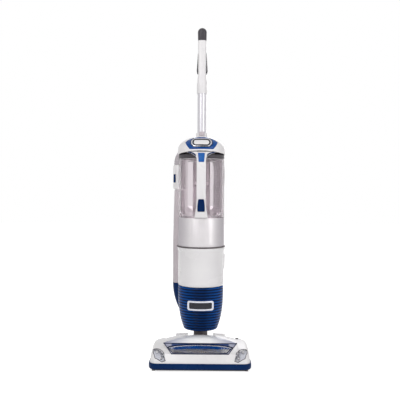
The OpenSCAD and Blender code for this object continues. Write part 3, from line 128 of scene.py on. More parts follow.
def mix_colours(tree, share, first, second):
    """The node has sockets of the same name for each kind of value: 0, 6 and 7 are those for colours"""
    made = add(tree, "Mix", {"data_type": "RGBA"})
    for index, value in ((0, share), (6, first), (7, second)):
        if isinstance(value, bpy.types.NodeSocket):
            tree.links.new(value, made.inputs[index])
        else:
            made.inputs[index].default_value = value
    return made.outputs[2]


def paint(red, green, blue):
    """A screen colour, 0 to 255, as light values"""
    light = [c / 255 / 12.92 if c < 11 else ((c / 255 + 0.055) / 1.055) ** 2.4 for c in (red, green, blue)]
    return (*light, 1.0)


print("mid grey is", [round(v, 3) for v in paint(128, 128, 128)])

# %% [markdown]
# ## Floor, walls and lamps
# A pale floor carries the cleaner. Camera, mirror and glass rays see it and the walls lifted to white
# through Light Path, while the lamps stay at a plain level, so white plastic keeps its shading and the
# floor keeps the shadow.

# %% Floor and surroundings
def seen_rays(tree):
    """1 for the rays that show surroundings: from the camera, off a gloss and through glass"""
    rays = add(tree, "LightPath").outputs
    direct = maths(tree, "MAXIMUM", rays["Is Camera Ray"], rays["Is Glossy Ray"])
    return maths(tree, "MAXIMUM", direct, rays["Is Transmission Ray"])


floor_lift = 0.75
lamp_light = 0.34
bpy.ops.mesh.primitive_plane_add(size=14, location=(0, 0, 0))
floor = bpy.context.object
floor.name = "studio_floor"
floor_finish = bpy.data.materials.new("floor_paper")
floor_finish.use_nodes = True
tree = floor_finish.node_tree
sheet = tree.nodes["Principled BSDF"]
sheet.inputs["Base Color"].default_value = paint(236, 236, 236)
sheet.inputs["Roughness"].default_value = 0.9
sheet.inputs["Specular IOR Level"].default_value = 0.1
tree.links.new(maths(tree, "MULTIPLY", seen_rays(tree), floor_lift), sheet.inputs["Emission Strength"])
sheet.inputs["Emission Color"].default_value = (1, 1, 1, 1)
floor.data.materials.append(floor_finish)

world = bpy.data.worlds.new("studio_walls")
bpy.context.scene.world = world
world.use_nodes = True
tree = world.node_tree
around = tree.nodes["Background"]
around.inputs["Color"].default_value = (1, 1, 1, 1)
tree.links.new(spread(tree, seen_rays(tree), 0.0, 1.0, lamp_light, 1.0), around.inputs["Strength"])
print("floor", floor.name, "and walls", world.name)

# %% [markdown]
# Three soft boxes light it: a wide one from the upper left of the camera, a weaker one from the right and
# one behind that draws the edges of the barrel.

# %% Lamps
def soft_box(name, at, target, width, height, power):
    bpy.ops.object.light_add(type="AREA", location=at)
    lamp = bpy.context.object
    lamp.name = name
    lamp.data.shape = "RECTANGLE"
    lamp.data.size = width
    lamp.data.size_y = height
    lamp.data.energy = power
    lamp.rotation_euler = (Vector(target) - Vector(at)).to_track_quat("-Z", "Y").to_euler()
    return lamp


soft_box("key_lamp", (-1.3, -2.2, 2.0), (0, 0, 0.5), 1.2, 1.8, 36)
soft_box("fill_lamp", (1.9, -1.7, 1.1), (0, 0, 0.5), 1.0, 1.8, 20)
soft_box("edge_lamp", (0.5, 2.6, 1.3), (0, 0, 0.6), 1.4, 1.0, 12)

# %% [markdown]
# ## Shared effects
# Moulded plastic is never one flat colour: it drifts a little in tone, its gloss changes in patches where
# it was touched, and its skin has a fine grain. The group gives those three and each finish feeds it with
# its own colours and sizes.

# %% Group: moulded skin
def start_group(name, takes, gives):
    """A shader node group with named inputs and outputs"""
    group = bpy.data.node_groups.new(name, "ShaderNodeTree")
    for title, kind, value in takes:
        socket = group.interface.new_socket(title, in_out="INPUT", socket_type="NodeSocket" + kind)
        socket.default_value = value
    for title, kind in gives:
        group.interface.new_socket(title, in_out="OUTPUT", socket_type="NodeSocket" + kind)
    return group, group.nodes.new("NodeGroupInput").outputs, group.nodes.new("NodeGroupOutput").inputs


skin, given, out = start_group(
    "moulded_skin",
    [("Colour", "Color", (0.8, 0.8, 0.8, 1)), ("Shade", "Color", (0.7, 0.7, 0.7, 1)),
     ("Patches", "Float", 9.0), ("Grain", "Float", 900.0), ("Gloss", "Float", 0.25), ("Dull", "Float", 0.4)],
    [("Colour", "Color"), ("Roughness", "Float"), ("Height", "Float")],
)
place = add(skin, "TexCoord").outputs["Object"]
tone = add(skin, "TexNoise", Vector=place, Scale=given["Patches"], Detail=3.0).outputs["Fac"]
touch = add(skin, "TexNoise", Vector=place, Scale=given["Patches"], Detail=6.0, Distortion=1.4).outputs["Fac"]
grain = add(skin, "TexNoise", Vector=place, Scale=given["Grain"], Detail=2.0).outputs["Fac"]
skin.links.new(mix_colours(skin, spread(skin, tone, 0.3, 0.7), given["Colour"], given["Shade"]), out["Colour"])
skin.links.new(spread(skin, touch, 0.32, 0.68, given["Gloss"], given["Dull"]), out["Roughness"])
skin.links.new(grain, out["Height"])
print("group", skin.name, "puts out", [s.name for s in out if s.name])

# %% [markdown]
# Rubbed and drawn surfaces show hairlines that run one way: along a tube that was drawn, round a brushed
# ring, at random on a handled shell. A noise squeezed along two axes gives them, and an input of the group
# says how much each axis is squeezed.

# %% Group: hairlines
hairlines, given, out = start_group(
    "hairlines",
    [("Squeeze", "Vector", (1.0, 1.0, 0.03)), ("Fineness", "Float", 1200.0),
     ("Gloss", "Float", 0.2), ("Dull", "Float", 0.35)],
    [("Roughness", "Float"), ("Height", "Float"), ("Mask", "Float")],
)
place = add(hairlines, "TexCoord").outputs["Object"]
squeezed = add(hairlines, "VectorMath", {"operation": "MULTIPLY"})
for index, value in enumerate((place, given["Squeeze"])):
    hairlines.links.new(value, squeezed.inputs[index])
lines = add(hairlines, "TexNoise", Vector=squeezed.outputs[0], Scale=given["Fineness"], Detail=3.0).outputs["Fac"]
hairlines.links.new(spread(hairlines, lines, 0.35, 0.65, given["Gloss"], given["Dull"]), out["Roughness"])
hairlines.links.new(lines, out["Height"])
hairlines.links.new(spread(hairlines, lines, 0.56, 0.72), out["Mask"])
print("group", hairlines.name, "puts out", [s.name for s in out if s.name])

# %% [markdown]
# ## Plastics
# Most of the cleaner is moulded ABS. Pearl white has a clear gloss, blue and navy are dyed through and
# polished, charcoal and taupe come from a spark-eroded mould with a satin skin. One recipe makes them all,
# and only colours, gloss and grain differ.

# %% Recipe for a moulded plastic
finishes = {}


def new_finish(name):
    material = bpy.data.materials.new(name)
    material.use_nodes = True
    return material, material.node_tree, material.node_tree.nodes["Principled BSDF"]


def use_group(tree, group, **inputs):
    made = tree.nodes.new("ShaderNodeGroup")
    made.node_tree = group
    for key, value in inputs.items():
        made.inputs[key].default_value = value
    return made.outputs


def off_middle(tree):
    """The distance of a point from the cleaner's middle plane, and its height"""
    spot = add(tree, "SeparateXYZ", Vector=add(tree, "TexCoord").outputs["Object"]).outputs
    return maths(tree, "ABSOLUTE", spot["X"]), spot["Z"]


def paint_flank_shade(material, flank, near, far):
    """Paints shade into a finish: mixes a darker colour in between two distances from the middle plane"""
    tree = material.node_tree
    base = tree.nodes["Principled BSDF"].inputs["Base Color"]
    share = spread(tree, off_middle(tree)[0], near, far)
    tree.links.new(mix_colours(tree, share, base.links[0].from_socket, flank), base)
    return material


def emboss(tree, shader, height, depth, strength=1.0):
    """Feeds a height into the shader's normal as a relief of so many metres"""
    relief = add(tree, "Bump", Height=height, Distance=depth, Strength=strength)
    tree.links.new(relief.outputs[0], shader.inputs["Normal"])


def moulded(name, colour, shade, gloss, dull, patches=9.0, grain=900.0, relief=0.00002, shine=0.3, metallic=0.0):
    """Plastic that drifts between two screen colours, with a grain whose relief is in metres"""
    material, tree, shader = new_finish(name)
    skin_out = use_group(tree, skin, Colour=colour, Shade=shade, Patches=patches, Grain=grain, Gloss=gloss, Dull=dull)
    tree.links.new(skin_out["Colour"], shader.inputs["Base Color"])
    tree.links.new(skin_out["Roughness"], shader.inputs["Roughness"])
    shader.inputs["Specular IOR Level"].default_value = shine
    shader.inputs["Metallic"].default_value = metallic
    emboss(tree, shader, skin_out["Height"], relief)
    return material


plastics = {
    "pearl": ("pearl_white", (244, 242, 242), (237, 234, 236), 0.2, 0.32, {"shine": 0.35}),
    "blue": ("bright_blue", (8, 78, 156), (6, 64, 134), 0.2, 0.32, {"shine": 0.2}),
    "button_blue": ("button_blue", (44, 104, 180), (36, 92, 166), 0.2, 0.32, {"shine": 0.2}),
    "navy": ("deep_navy", (3, 44, 94), (2, 34, 80), 0.24, 0.38, {"shine": 0.08}),
    "charcoal": ("charcoal_satin", (72, 69, 74), (60, 57, 62), 0.38, 0.52, {"grain": 500.0, "relief": 0.00005}),
    "taupe": ("taupe_satin", (208, 199, 203), (196, 187, 192), 0.34, 0.46, {"grain": 600.0, "relief": 0.00003}),
    # Taupe darkened as painted shadow, for the neck yoke in the shadow under the cover.
    "shaded_taupe": ("shaded_taupe", (112, 105, 108), (100, 94, 97), 0.4, 0.52, {"grain": 600.0}),
    "hose_plastic": ("hose_ribs", (200, 193, 198), (184, 178, 183), 0.36, 0.5, {"patches": 30.0, "relief": 0.00003}),
}
for slot, (name, colour, shade, gloss, dull, more) in plastics.items():
    finishes[slot] = moulded(name, paint(*colour), paint(*shade), gloss, dull, **more)
print("plastics:", sorted(finishes))

# %% [markdown]
# The cover over the filter has a fine row of ribs. Painted shade turns the blue nearly black between them,
# and painted shade makes the middle of the cover, which bulges towards the front, a darker blue than its
# flanks. A mask counted up from the foot of the cover, one step a rib, paints the shade into the grooves, and
# a second one follows the distance from the middle.

# %% Ribbed blue of the cover
def ribbed_plastic(name, foot, step, groove_at):
    material, tree, shader = new_finish(name)
    skin_out = use_group(tree, skin, Colour=paint(8, 80, 158), Shade=paint(6, 68, 140), Gloss=0.2, Dull=0.32)
    outwards, height = off_middle(tree)
    steps = spread(tree, height, foot + (groove_at - 0.5) * step, foot + (groove_at + 0.5) * step)
    tree.nodes[-1].clamp = False
    # Painted shade: the grooves between the ribs are darkened nearly to black, and the middle of the cover to navy.
    from_groove = maths(tree, "ABSOLUTE", maths(tree, "SUBTRACT", maths(tree, "FRACT", steps), 0.5))
    groove = spread(tree, from_groove, 0.1, 0.3, 1.0, 0.0)
    middle = spread(tree, outwards, 0.014, 0.056, 0.85, 0.0)
    shaded_middle = mix_colours(tree, middle, skin_out["Colour"], paint(6, 34, 78))
    tree.links.new(mix_colours(tree, groove, shaded_middle, paint(3, 9, 30)), shader.inputs["Base Color"])
    tree.links.new(skin_out["Roughness"], shader.inputs["Roughness"])
    shader.inputs["Specular IOR Level"].default_value = 0.06
    emboss(tree, shader, skin_out["Height"], 0.00002)
    return material


finishes["ribbed_blue"] = ribbed_plastic("ribbed_blue", 0.095, 0.00925, 0.03)
print("ribbed:", finishes["ribbed_blue"].name)

# %% [markdown]
# The silver plastics hold fine metal flakes, so they shade like sprayed metal. The band of the cup has painted
# shade: its colour is bright in front and darkens towards both sides.

# %% Silver flake
flake = {"patches": 14.0, "grain": 2400.0, "relief": 0.000015, "metallic": 0.3}
finishes["silver"] = moulded("silver_flake", paint(206, 202, 205), paint(195, 191, 194), 0.36, 0.46, **flake)
band = moulded("band_silver_shaded", paint(226, 222, 224), paint(216, 212, 214), 0.36, 0.46, **flake)
# Painted shade: the band's colour darkens towards both sides.
finishes["band_silver_shaded"] = paint_flank_shade(band, paint(178, 172, 178), 0.036, 0.076)
print("silver:", finishes["silver"].name, finishes["band_silver_shaded"].name)

# %% [markdown]
# ## Metals
# The window's frame and the badges are plated, so they are bright with faint polishing lines. The wand is a
# drawn tube with lines along it, and axles and pins are turned steel.

# %% Bright plate, drawn tube and turned steel
def metal(name, colour, gloss, dull, squeeze, fineness=1200.0, metallic=1.0):
    """Metal with hairlines across the axes that squeeze leaves at 1"""
    material, tree, shader = new_finish(name)
    lines_out = use_group(tree, hairlines, Squeeze=squeeze, Fineness=fineness, Gloss=gloss, Dull=dull)
    shader.inputs["Metallic"].default_value = metallic
    line_shade = 0.86
    light = mix_colours(tree, lines_out["Mask"], colour, (*(c * line_shade for c in colour[:3]), 1))
    tree.links.new(light, shader.inputs["Base Color"])
    tree.links.new(lines_out["Roughness"], shader.inputs["Roughness"])
    emboss(tree, shader, lines_out["Height"], 0.000008)
    return material


finishes["chrome"] = metal("bright_plate", paint(200, 201, 210), 0.26, 0.38, (0.04, 1.0, 1.0), 900.0, metallic=0.8)
finishes["steel"] = metal("turned_steel", paint(176, 178, 182), 0.2, 0.34, (1.0, 0.05, 0.05))
finishes["wand_metal"] = metal("drawn_tube", paint(208, 206, 211), 0.26, 0.38, (1.0, 1.0, 0.02), 1500.0, metallic=0.5)
print("metals:", [finishes[k].name for k in ("chrome", "steel", "wand_metal")])

# %% [markdown]
# The frame of the window is lacquered silver. Its colour is painted white in the middle and violet grey
# towards its ends: a painted highlight and painted shade for what the frame reflects. The ledge right above
# the opening is navy, so the dark line round the window is broad at the top.

# %% Frame of the window
def window_frame():
    material = metal("window_frame", paint(252, 252, 253), 0.3, 0.42, (0.04, 1.0, 1.0), 900.0, metallic=0.12)
    # Painted highlight in the middle and painted shade towards the ends of the frame.
    paint_flank_shade(material, paint(156, 158, 182), 0.03, 0.11)
    tree = material.node_tree
    base = tree.nodes["Principled BSDF"].inputs["Base Color"]
    outwards, height = off_middle(tree)
    ledge = spread(tree, outwards, 0.090, 0.096, 1.0, 0.0)
    ledge = maths(tree, "MULTIPLY", ledge, spread(tree, height, 0.0632, 0.0638))
    ledge = maths(tree, "MULTIPLY", ledge, spread(tree, height, 0.0680, 0.0685, 1.0, 0.0))
    tree.links.new(mix_colours(tree, ledge, base.links[0].from_socket, paint(14, 52, 112)), base)
    return material


finishes["window_frame"] = window_frame()
print("frame:", finishes["window_frame"].name)

# %% [markdown]
# ## Clear plastic
# The dust cup, the nozzle's window and its lenses are clear polycarbonate. It takes its look from what is
# behind it, so only a breath of grey, a soft ripple from the mould and faint rubbing marks are added. On the
# cup the grey is darker on the side facets and low down, as painted shade.

# %% Clear
def clear_plastic(name, front, side, edge_x, edge_z, alpha, bending):
    """Polycarbonate tinted front at the middle, and with painted shade, side, beyond edge_x and below edge_z"""
    material, tree, shader = new_finish(name)
    outwards, height = off_middle(tree)
    beside = spread(tree, outwards, edge_x - 0.003, edge_x + 0.003)
    below = spread(tree, height, edge_z - 0.004, edge_z + 0.004, 1.0, 0.0)
    painted_shade_share = maths(tree, "MAXIMUM", beside, below)
    tree.links.new(mix_colours(tree, painted_shade_share, front, side), shader.inputs["Base Color"])
    shader.inputs["Transmission Weight"].default_value = 1.0
    shader.inputs["IOR"].default_value = bending
    shader.inputs["Alpha"].default_value = alpha
    ripple_out = use_group(tree, hairlines, Squeeze=(1.0, 1.0, 0.25), Fineness=60.0, Gloss=0.02, Dull=0.06)
    tree.links.new(ripple_out["Roughness"], shader.inputs["Roughness"])
    emboss(tree, shader, ripple_out["Height"], 0.00002)
    return material


# Painted shade: the cup's side facets and its lower zone take the darker side colour.
finishes["clear"] = clear_plastic("clear_cup", paint(228, 221, 225), paint(217, 208, 213), 0.049, 0.507, 0.65, 1.2)
finishes["clear_lens"] = clear_plastic("clear_lens", paint(250, 250, 252), paint(250, 250, 252), 0.2, 0.0, 0.3, 1.25)
print("clear:", finishes["clear"].name, finishes["clear_lens"].name)

# %% [markdown]
# ## Rubber, foam, felt and bristle
# Soft stuffs scatter light from a rough skin. Rubber is nearly black with pale bloom in patches, the foam
# is full of cells, the paper of the filter has fibres, and the soft grip has fine pimples that keep it
# from slipping.

# %% Soft stuffs
def soft_stuff(name, colour, shade, pattern, scale, relief, rough, sheen=0.0):
    """A rough stuff with a relief of cells or noise, scale of them to a metre"""
    material, tree, shader = new_finish(name)
    place = add(tree, "TexCoord").outputs["Object"]
    if pattern == "cells":
        height = add(tree, "TexVoronoi", Vector=place, Scale=scale).outputs["Distance"]
    else:
        height = add(tree, "TexNoise", Vector=place, Scale=scale, Detail=4.0).outputs["Fac"]
    tone = add(tree, "TexNoise", Vector=place, Scale=18.0, Detail=3.0).outputs["Fac"]
    tree.links.new(mix_colours(tree, spread(tree, tone, 0.35, 0.65), colour, shade), shader.inputs["Base Color"])
    tree.links.new(spread(tree, height, 0.0, 1.0, rough, rough - 0.15), shader.inputs["Roughness"])
    shader.inputs["Sheen Weight"].default_value = sheen
    emboss(tree, shader, height, relief)
    return material


soft_stuffs = {
    "rubber": ("seal_rubber", (92, 84, 86), (78, 71, 74), "noise", 700.0, 0.00004, 0.62),
    "tyre": ("wheel_rubber", (44, 43, 45), (56, 55, 57), "noise", 500.0, 0.00008, 0.75),
    "soft_grip": ("pimpled_grip", (74, 71, 77), (62, 60, 66), "cells", 620.0, 0.00018, 0.66),
    "foam": ("open_foam", (96, 122, 158), (80, 105, 142), "cells", 900.0, 0.0006, 0.95, 0.2),
    "filter_paper": ("filter_fleece", (226, 224, 216), (212, 209, 200), "noise", 1400.0, 0.00015, 0.92, 0.3),
    "bristle": ("nylon_bristle", (202, 186, 160), (120, 104, 88), "noise", 900.0, 0.00005, 0.6),
}
for slot, (name, colour, shade, *rest) in soft_stuffs.items():
    finishes[slot] = soft_stuff(name, paint(*colour), paint(*shade), *rest)
print("soft stuffs:", [finishes[slot].name for slot in soft_stuffs])

# %% [markdown]
# ## Finish every node
# The record names a material slot for each node, and the table of finishes has the same names, so one pass
# dresses the whole cleaner.

# %% Dress the nodes
slot_of = {part["node"]: part["material_slot"] for part in frame["record"]["subparts"]}
body_of = {node: body for body, nodes in frame["record"]["behaviour"]["bodies"].items() for node in nodes}


def dress(piece, slot, finish=None):
    """Gives a new piece the finish of a slot, or the finish named in its stead"""
    piece.data.materials.clear()
    piece.data.materials.append(finishes[finish or slot])


finish_of = {
    **slot_of, "brush_window": "clear_lens", "nozzle_lenses": "clear_lens", "ribbed_cover": "ribbed_blue",
    # The neck yoke takes the taupe darkened as painted shadow.
    "filter_housing": "pearl", "neck_yoke": "shaded_taupe", "silver_frame": "window_frame",
    "cup_button": "button_blue", "cup_band": "band_silver_shaded",
}
for name, solid in frame["nodes"].items():
    solid.data.materials.clear()
    solid.data.materials.append(finishes[finish_of[name]])
print("dressed", len(frame["nodes"]), "nodes in", len(set(slot_of.values())), "finishes")

# %% [markdown]
# ## Softened shells
# A solid's edges are knife sharp and its lofted faces flat. On the real mouldings every edge has a small
# radius that catches a line of light. For each visible shell a copy is merged, its flat faces joined, its
# edges broken by a bevel and its shading smoothed, and the copy then stands for the solid. The copy keeps
# the solid's size, because a bevel only takes away.

# %% Helper: copy a solid
weld = 0.00001


def deselect():
    bpy.ops.object.select_all(action="DESELECT")


def pick(piece):
    """Makes a piece the only one selected, and the active one"""
    deselect()
    piece.select_set(True)
    bpy.context.view_layer.objects.active = piece


def merged_copy(node, name):
    """A copy of a solid, also of a hidden one, with its points merged and its flat faces joined"""
    solid = frame["nodes"][node]
    piece = solid.copy()
    piece.data = solid.data.copy()
    piece.name = name
    bpy.context.scene.collection.objects.link(piece)
    for key in [k for k in piece.keys() if k.startswith("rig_")]:
        del piece[key]
    piece.parent = None
    piece.hide_render = piece.hide_viewport = False
    piece.hide_set(False)
    pick(piece)
    bpy.ops.mesh.customdata_custom_splitnormals_clear()
    bpy.ops.object.mode_set(mode="EDIT")
    bpy.ops.mesh.select_all(action="SELECT")
    bpy.ops.mesh.remove_doubles(threshold=weld)
    bpy.ops.mesh.dissolve_limited(angle_limit=math.radians(0.5))
    bpy.ops.object.mode_set(mode="OBJECT")
    return piece


print("points closer than", weld, "m are merged")

# %% Soften the shells
bent_rings = ("bumper", "silver_frame")
sharp_from = math.radians(38)


def softened(node, edge):
    """A merged copy of a solid with its sharp edges bevelled and its faces smooth"""
    piece = merged_copy(node, node + "_shell")
    if node in bent_rings:
        # A long bent face would fold over itself once its corners are cut, so triangles fill it first
        bpy.ops.object.mode_set(mode="EDIT")
        bpy.ops.mesh.quads_convert_to_tris(ngon_method="BEAUTY")
        bpy.ops.object.mode_set(mode="OBJECT")
    if edge:
        bevel = piece.modifiers.new("edge", "BEVEL")
        bevel.width = edge
        bevel.segments = 2
        bevel.limit_method = "ANGLE"
        bevel.angle_limit = sharp_from
        bpy.ops.object.modifier_apply(modifier="edge")
    bpy.ops.object.shade_smooth_by_angle(angle=sharp_from)
    dress(piece, slot_of[node], finish_of[node])
    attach(piece, body_of[node])
    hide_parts(node)
    return piece


shells = {
    "nozzle_hull": 0.0006, "bumper": 0.0008, "silver_frame": 0.0006, "sole_plate": 0.0004,
    "top_housing": 0.0005, "carry_handle": 0.0009, "filter_housing": 0.0006, "ribbed_cover": 0.0003,
    "cover_frame": 0.0005, "badge_plate": 0.0004, "blue_panel": 0.0003, "hose_cuff": 0.0008,
    "cuff_button": 0.0004, "side_duct": 0.0006, "duct_foot": 0.0006, "cup_lid": 0.0004, "cup_band": 0.0004,
    "cup_button": 0.0005, "door_button": 0.0005, "wand_button": 0.0005, "power_switch": 0.0004,
    "handle_shell": 0, "handle_grip": 0, "handle_cap": 0, "spine": 0.0006, "tool_post": 0.0006,
    "neck_yoke": 0.0006, "swivel_collar": 0.0005, "upper_cord_hook": 0.0008, "hose_port": 0.0005,
}
made = {node: softened(node, edge) for node, edge in shells.items()}
for node, piece in made.items():
    print(node, len(piece.data.polygons), "faces")

# %% [markdown]
# The soft grip narrows towards its upper end. The taper starts at an empty that marks the grip's foot, and
# keeps the depth as it is.

# %% Taper of the soft grip
grip_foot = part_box("handle_grip")[0].z
bpy.ops.object.empty_add(location=(0, 0, grip_foot))
taper_foot = bpy.context.object
taper = made["handle_grip"].modifiers.new("taper", "SIMPLE_DEFORM")
taper.deform_method = "TAPER"
taper.deform_axis = "Z"
taper.lock_y = True
taper.factor = -0.28
taper.origin = taper_foot
pick(made["handle_grip"])
bpy.ops.object.modifier_apply(modifier="taper")
bpy.data.objects.remove(taper_foot)
bpy.context.view_layer.update()
print("grip is", [round(v, 4) for v in made["handle_grip"].dimensions], "after its taper")

# %% [markdown]
# ## Two-tone badges
# The oval badge on the housing and the framed plate on the cover are plated and carry nothing. Dark enamel
# fills the ring of the badge and the field of the plate, and the badge's own field is pearl white. The faces
# are found by their place, and they get the other finish as a further material of the same piece.

# %% Fill the sunken fields
def inlay(piece, finish, inside):
    """Gives the faces whose centre passes the test a second finish"""
    piece.data.materials.append(finishes[finish])
    count = 0
    for face in piece.data.polygons:
        if inside(face.center, face.normal):
            face.material_index = len(piece.data.materials) - 1
            count += 1
    return count


def in_round_rect(x, z, width, height, radius):
    """Whether a point lies in a rectangle with round corners about the origin"""
    over_x = max(abs(x) - width / 2 + radius, 0)
    over_z = max(abs(z) - height / 2 + radius, 0)
    return math.hypot(over_x, over_z) < radius


badge_middle = 0.7205
plate_middle = 0.183
ring_outside = (0.0584, 0.0224, 0.0111)
ring_inside = (0.0526, 0.0166, 0.0082)
plate_field = (0.0746, 0.0206, 0.0038)


def in_badge_field(spot, facing):
    return facing.y < 0.2 and in_round_rect(spot.x, spot.z - badge_middle, *ring_inside)


def in_badge_ring(spot, facing):
    x, z = spot.x, spot.z - badge_middle
    return facing.y < 0.2 and in_round_rect(x, z, *ring_outside) and not in_round_rect(x, z, *ring_inside)


def in_plate_field(spot, facing):
    return facing.y < -0.2 and in_round_rect(spot.x, spot.z - plate_middle, *plate_field)


finishes["enamel"] = moulded("dark_enamel", paint(38, 38, 46), paint(30, 30, 38), 0.18, 0.3, shine=0.3)
print("badge ring:", inlay(made["badge_plate"], "enamel", in_badge_ring), "faces")
print("cover plate:", inlay(made["cover_frame"], "enamel", in_plate_field), "faces")
print("badge field:", inlay(made["badge_plate"], "pearl", in_badge_field), "faces")

# %% [markdown]
# ## Beads along the edges
# Where clear plastic meets the hull lies a thin dark gasket, and a dark line goes round the badge. A violet
# grey line round the outside of the window's frame is a painted dark reflection, and pale beads on the
# moulded corners of the cup are painted highlights. All of them follow edges that the solids already have. So
# a copy of the solid is made, its sharp edges are picked by their place, everything else is deleted, and the
# edges that are left become a curve with a round section.

# %% Helper: a bead on chosen edges
def edge_bead(name, node, picks, radius, slot, finish=None, crease=30):
    """A round bead along the sharp edges of a solid that pass a test of their ends and of the faces beside them"""
    piece = merged_copy(node, name)
    bpy.ops.object.mode_set(mode="EDIT")
    bpy.ops.mesh.select_mode(type="EDGE")
    bpy.ops.mesh.select_all(action="DESELECT")
    bpy.ops.mesh.edges_select_sharp(sharpness=math.radians(crease))
    bpy.ops.object.mode_set(mode="OBJECT")
    beside = {}
    for face in piece.data.polygons:
        for key in face.edge_keys:
            beside.setdefault(key, []).append(face.normal.copy())
    spots = piece.data.vertices
    for edge in piece.data.edges:
        if edge.select:
            first, second = (spots[v].co for v in edge.vertices)
            edge.select = picks(first, second, beside[edge.key])
    chosen = sum(edge.select for edge in piece.data.edges)
    bpy.ops.object.mode_set(mode="EDIT")
    bpy.ops.mesh.select_all(action="INVERT")
    bpy.ops.mesh.delete(type="EDGE")
    bpy.ops.object.mode_set(mode="OBJECT")
    bpy.ops.object.convert(target="CURVE")
    piece.data.bevel_depth = radius
    piece.data.bevel_resolution = 2
    bpy.ops.object.convert(target="MESH")
    bpy.ops.object.mode_set(mode="EDIT")
    bpy.ops.mesh.select_all(action="SELECT")
    bpy.ops.mesh.remove_doubles(threshold=weld)
    bpy.ops.mesh.normals_make_consistent(inside=False)
    bpy.ops.object.mode_set(mode="OBJECT")
    bpy.ops.object.shade_smooth_by_angle(angle=math.radians(50))
    dress(piece, slot, finish)
    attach(piece, body_of[node])
    print(name, "follows", chosen, "edges,", len(piece.data.polygons), "faces")
    return piece


# %% Gaskets of the window and the lamps
window_low, window_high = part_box("brush_window")
window_margin = 0.003
ledge_back = -0.0795


def on_top(first, second, facing):
    """One face beside the edge looks up, the other to the side"""
    return sum(normal.z > 0.5 for normal in facing) == 1


def round_window(first, second):
    """Whether an edge of the frame goes round the window's opening"""
    middle = (first + second) / 2
    return (abs(middle.x) < window_high.x + window_margin
            and window_low.y - window_margin < middle.y < window_high.y + window_margin)


def on_frame_opening(first, second, facing):
    return on_top(first, second, facing) and round_window(first, second)


def on_frame_outside(first, second, facing):
    on_ledge = all(abs(end.y - ledge_back) < 0.0005 for end in (first, second))
    return on_top(first, second, facing) and not round_window(first, second) and not on_ledge


finishes["gasket"] = moulded("navy_gasket", paint(6, 26, 66), paint(4, 20, 54), 0.35, 0.5, shine=0.05)
# The violet grey of this line is a painted dark reflection along the frame's rounded outer edge.
finishes["frame_edge_reflection"] = moulded("frame_edge_reflection", paint(104, 106, 128), paint(90, 92, 114), 0.3, 0.45)
edge_bead("lamp_gaskets", "nozzle_lenses", on_top, 0.0009, "charcoal", "enamel")
edge_bead("reflector_rims", "headlight_reflectors", on_top, 0.0006, "charcoal", "enamel")
edge_bead("window_gasket", "silver_frame", on_frame_opening, 0.0017, "navy", "gasket")
edge_bead("frame_rim_reflection", "silver_frame", on_frame_outside, 0.0007, "charcoal", "frame_edge_reflection")

# %% [markdown]
# ## Turned pieces
# Lamp bulbs and screws are turned forms: a disc is pushed up ring by ring and each ring is scaled. A bulb
# has a dark collar and a pale dome, and sits in each bowl of the reflectors. The screws that hold the spine
# have a sunk middle.

# %% Helper: a turned form
def turned(name, outline, sides=24):
    """A closed form on its foot at the origin; the outline is pairs of radius and height in millimetres"""
    deselect()
    radius, height = outline[0]
    bpy.ops.mesh.primitive_circle_add(vertices=sides, radius=radius / 1000, fill_type="NGON")
    piece = bpy.context.object
    piece.name = name
    bpy.ops.object.mode_set(mode="EDIT")
    bpy.ops.mesh.select_all(action="SELECT")
    for next_radius, next_height in outline[1:]:
        bpy.ops.mesh.extrude_region_move(TRANSFORM_OT_translate={"value": (0, 0, (next_height - height) / 1000)})
        bpy.ops.transform.resize(value=(next_radius / radius, next_radius / radius, 1))
        radius, height = next_radius, next_height
    bpy.ops.mesh.select_all(action="SELECT")
    bpy.ops.mesh.normals_make_consistent(inside=False)
    bpy.ops.object.mode_set(mode="OBJECT")
    return piece


def join(parts, name):
    """One piece of many, with its place, turn and scale in the mesh"""
    deselect()
    for part in parts:
        part.select_set(True)
    bpy.context.view_layer.objects.active = parts[0]
    bpy.ops.object.join()
    joined = bpy.context.object
    joined.name = name
    bpy.ops.object.transform_apply(location=True, rotation=True, scale=True)
    return joined


def copy_of(piece, place, turn):
    pick(piece)
    bpy.ops.object.duplicate()
    twin = bpy.context.object
    twin.location = Vector(place)
    twin.rotation_euler = turn
    return twin


def copies(piece, name, places, turn):
    """Copies of a piece at the places, as one piece that takes its stead"""
    joined = join([copy_of(piece, place, turn) for place in places], name)
    bpy.data.objects.remove(piece)
    bpy.ops.object.shade_smooth_by_angle(angle=math.radians(40))
    return joined


print("a turned form is pushed up ring by ring")

# %% Lamp bulbs
lamp_tilt = math.radians(24.7)
lamp_floor = 0.104
nozzle_half = 0.156
collar_top = 0.0022

bulb = turned("bulb", [
    (4.2, 0), (4.2, 1.6), (3.4, 2.2), (2.9, 2.3), (2.9, 4.2), (2.3, 5.4), (1.3, 6.0), (0.4, 6.2),
])
bulb.data.materials.append(finishes["enamel"])
inlay(bulb, "pearl", lambda spot, facing: spot.z > collar_top)
tilted = Matrix.Rotation(lamp_tilt, 3, "X")
bowl_floor = lamp_floor + 0.0005
bulb_places = [
    tilted @ Vector((side * (nozzle_half - across), -along, bowl_floor)) + Vector((0, barrel_y, 0))
    for side in (-1, 1) for across, along in ((0.020, 0.112), (0.035, 0.140))
]
bulbs = copies(bulb, "lamp_bulbs", bulb_places, (lamp_tilt, 0, 0))
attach(bulbs, body_of["nozzle_lenses"])
print("bulbs:", len(bulb_places), "with", len(bulbs.data.polygons), "faces")

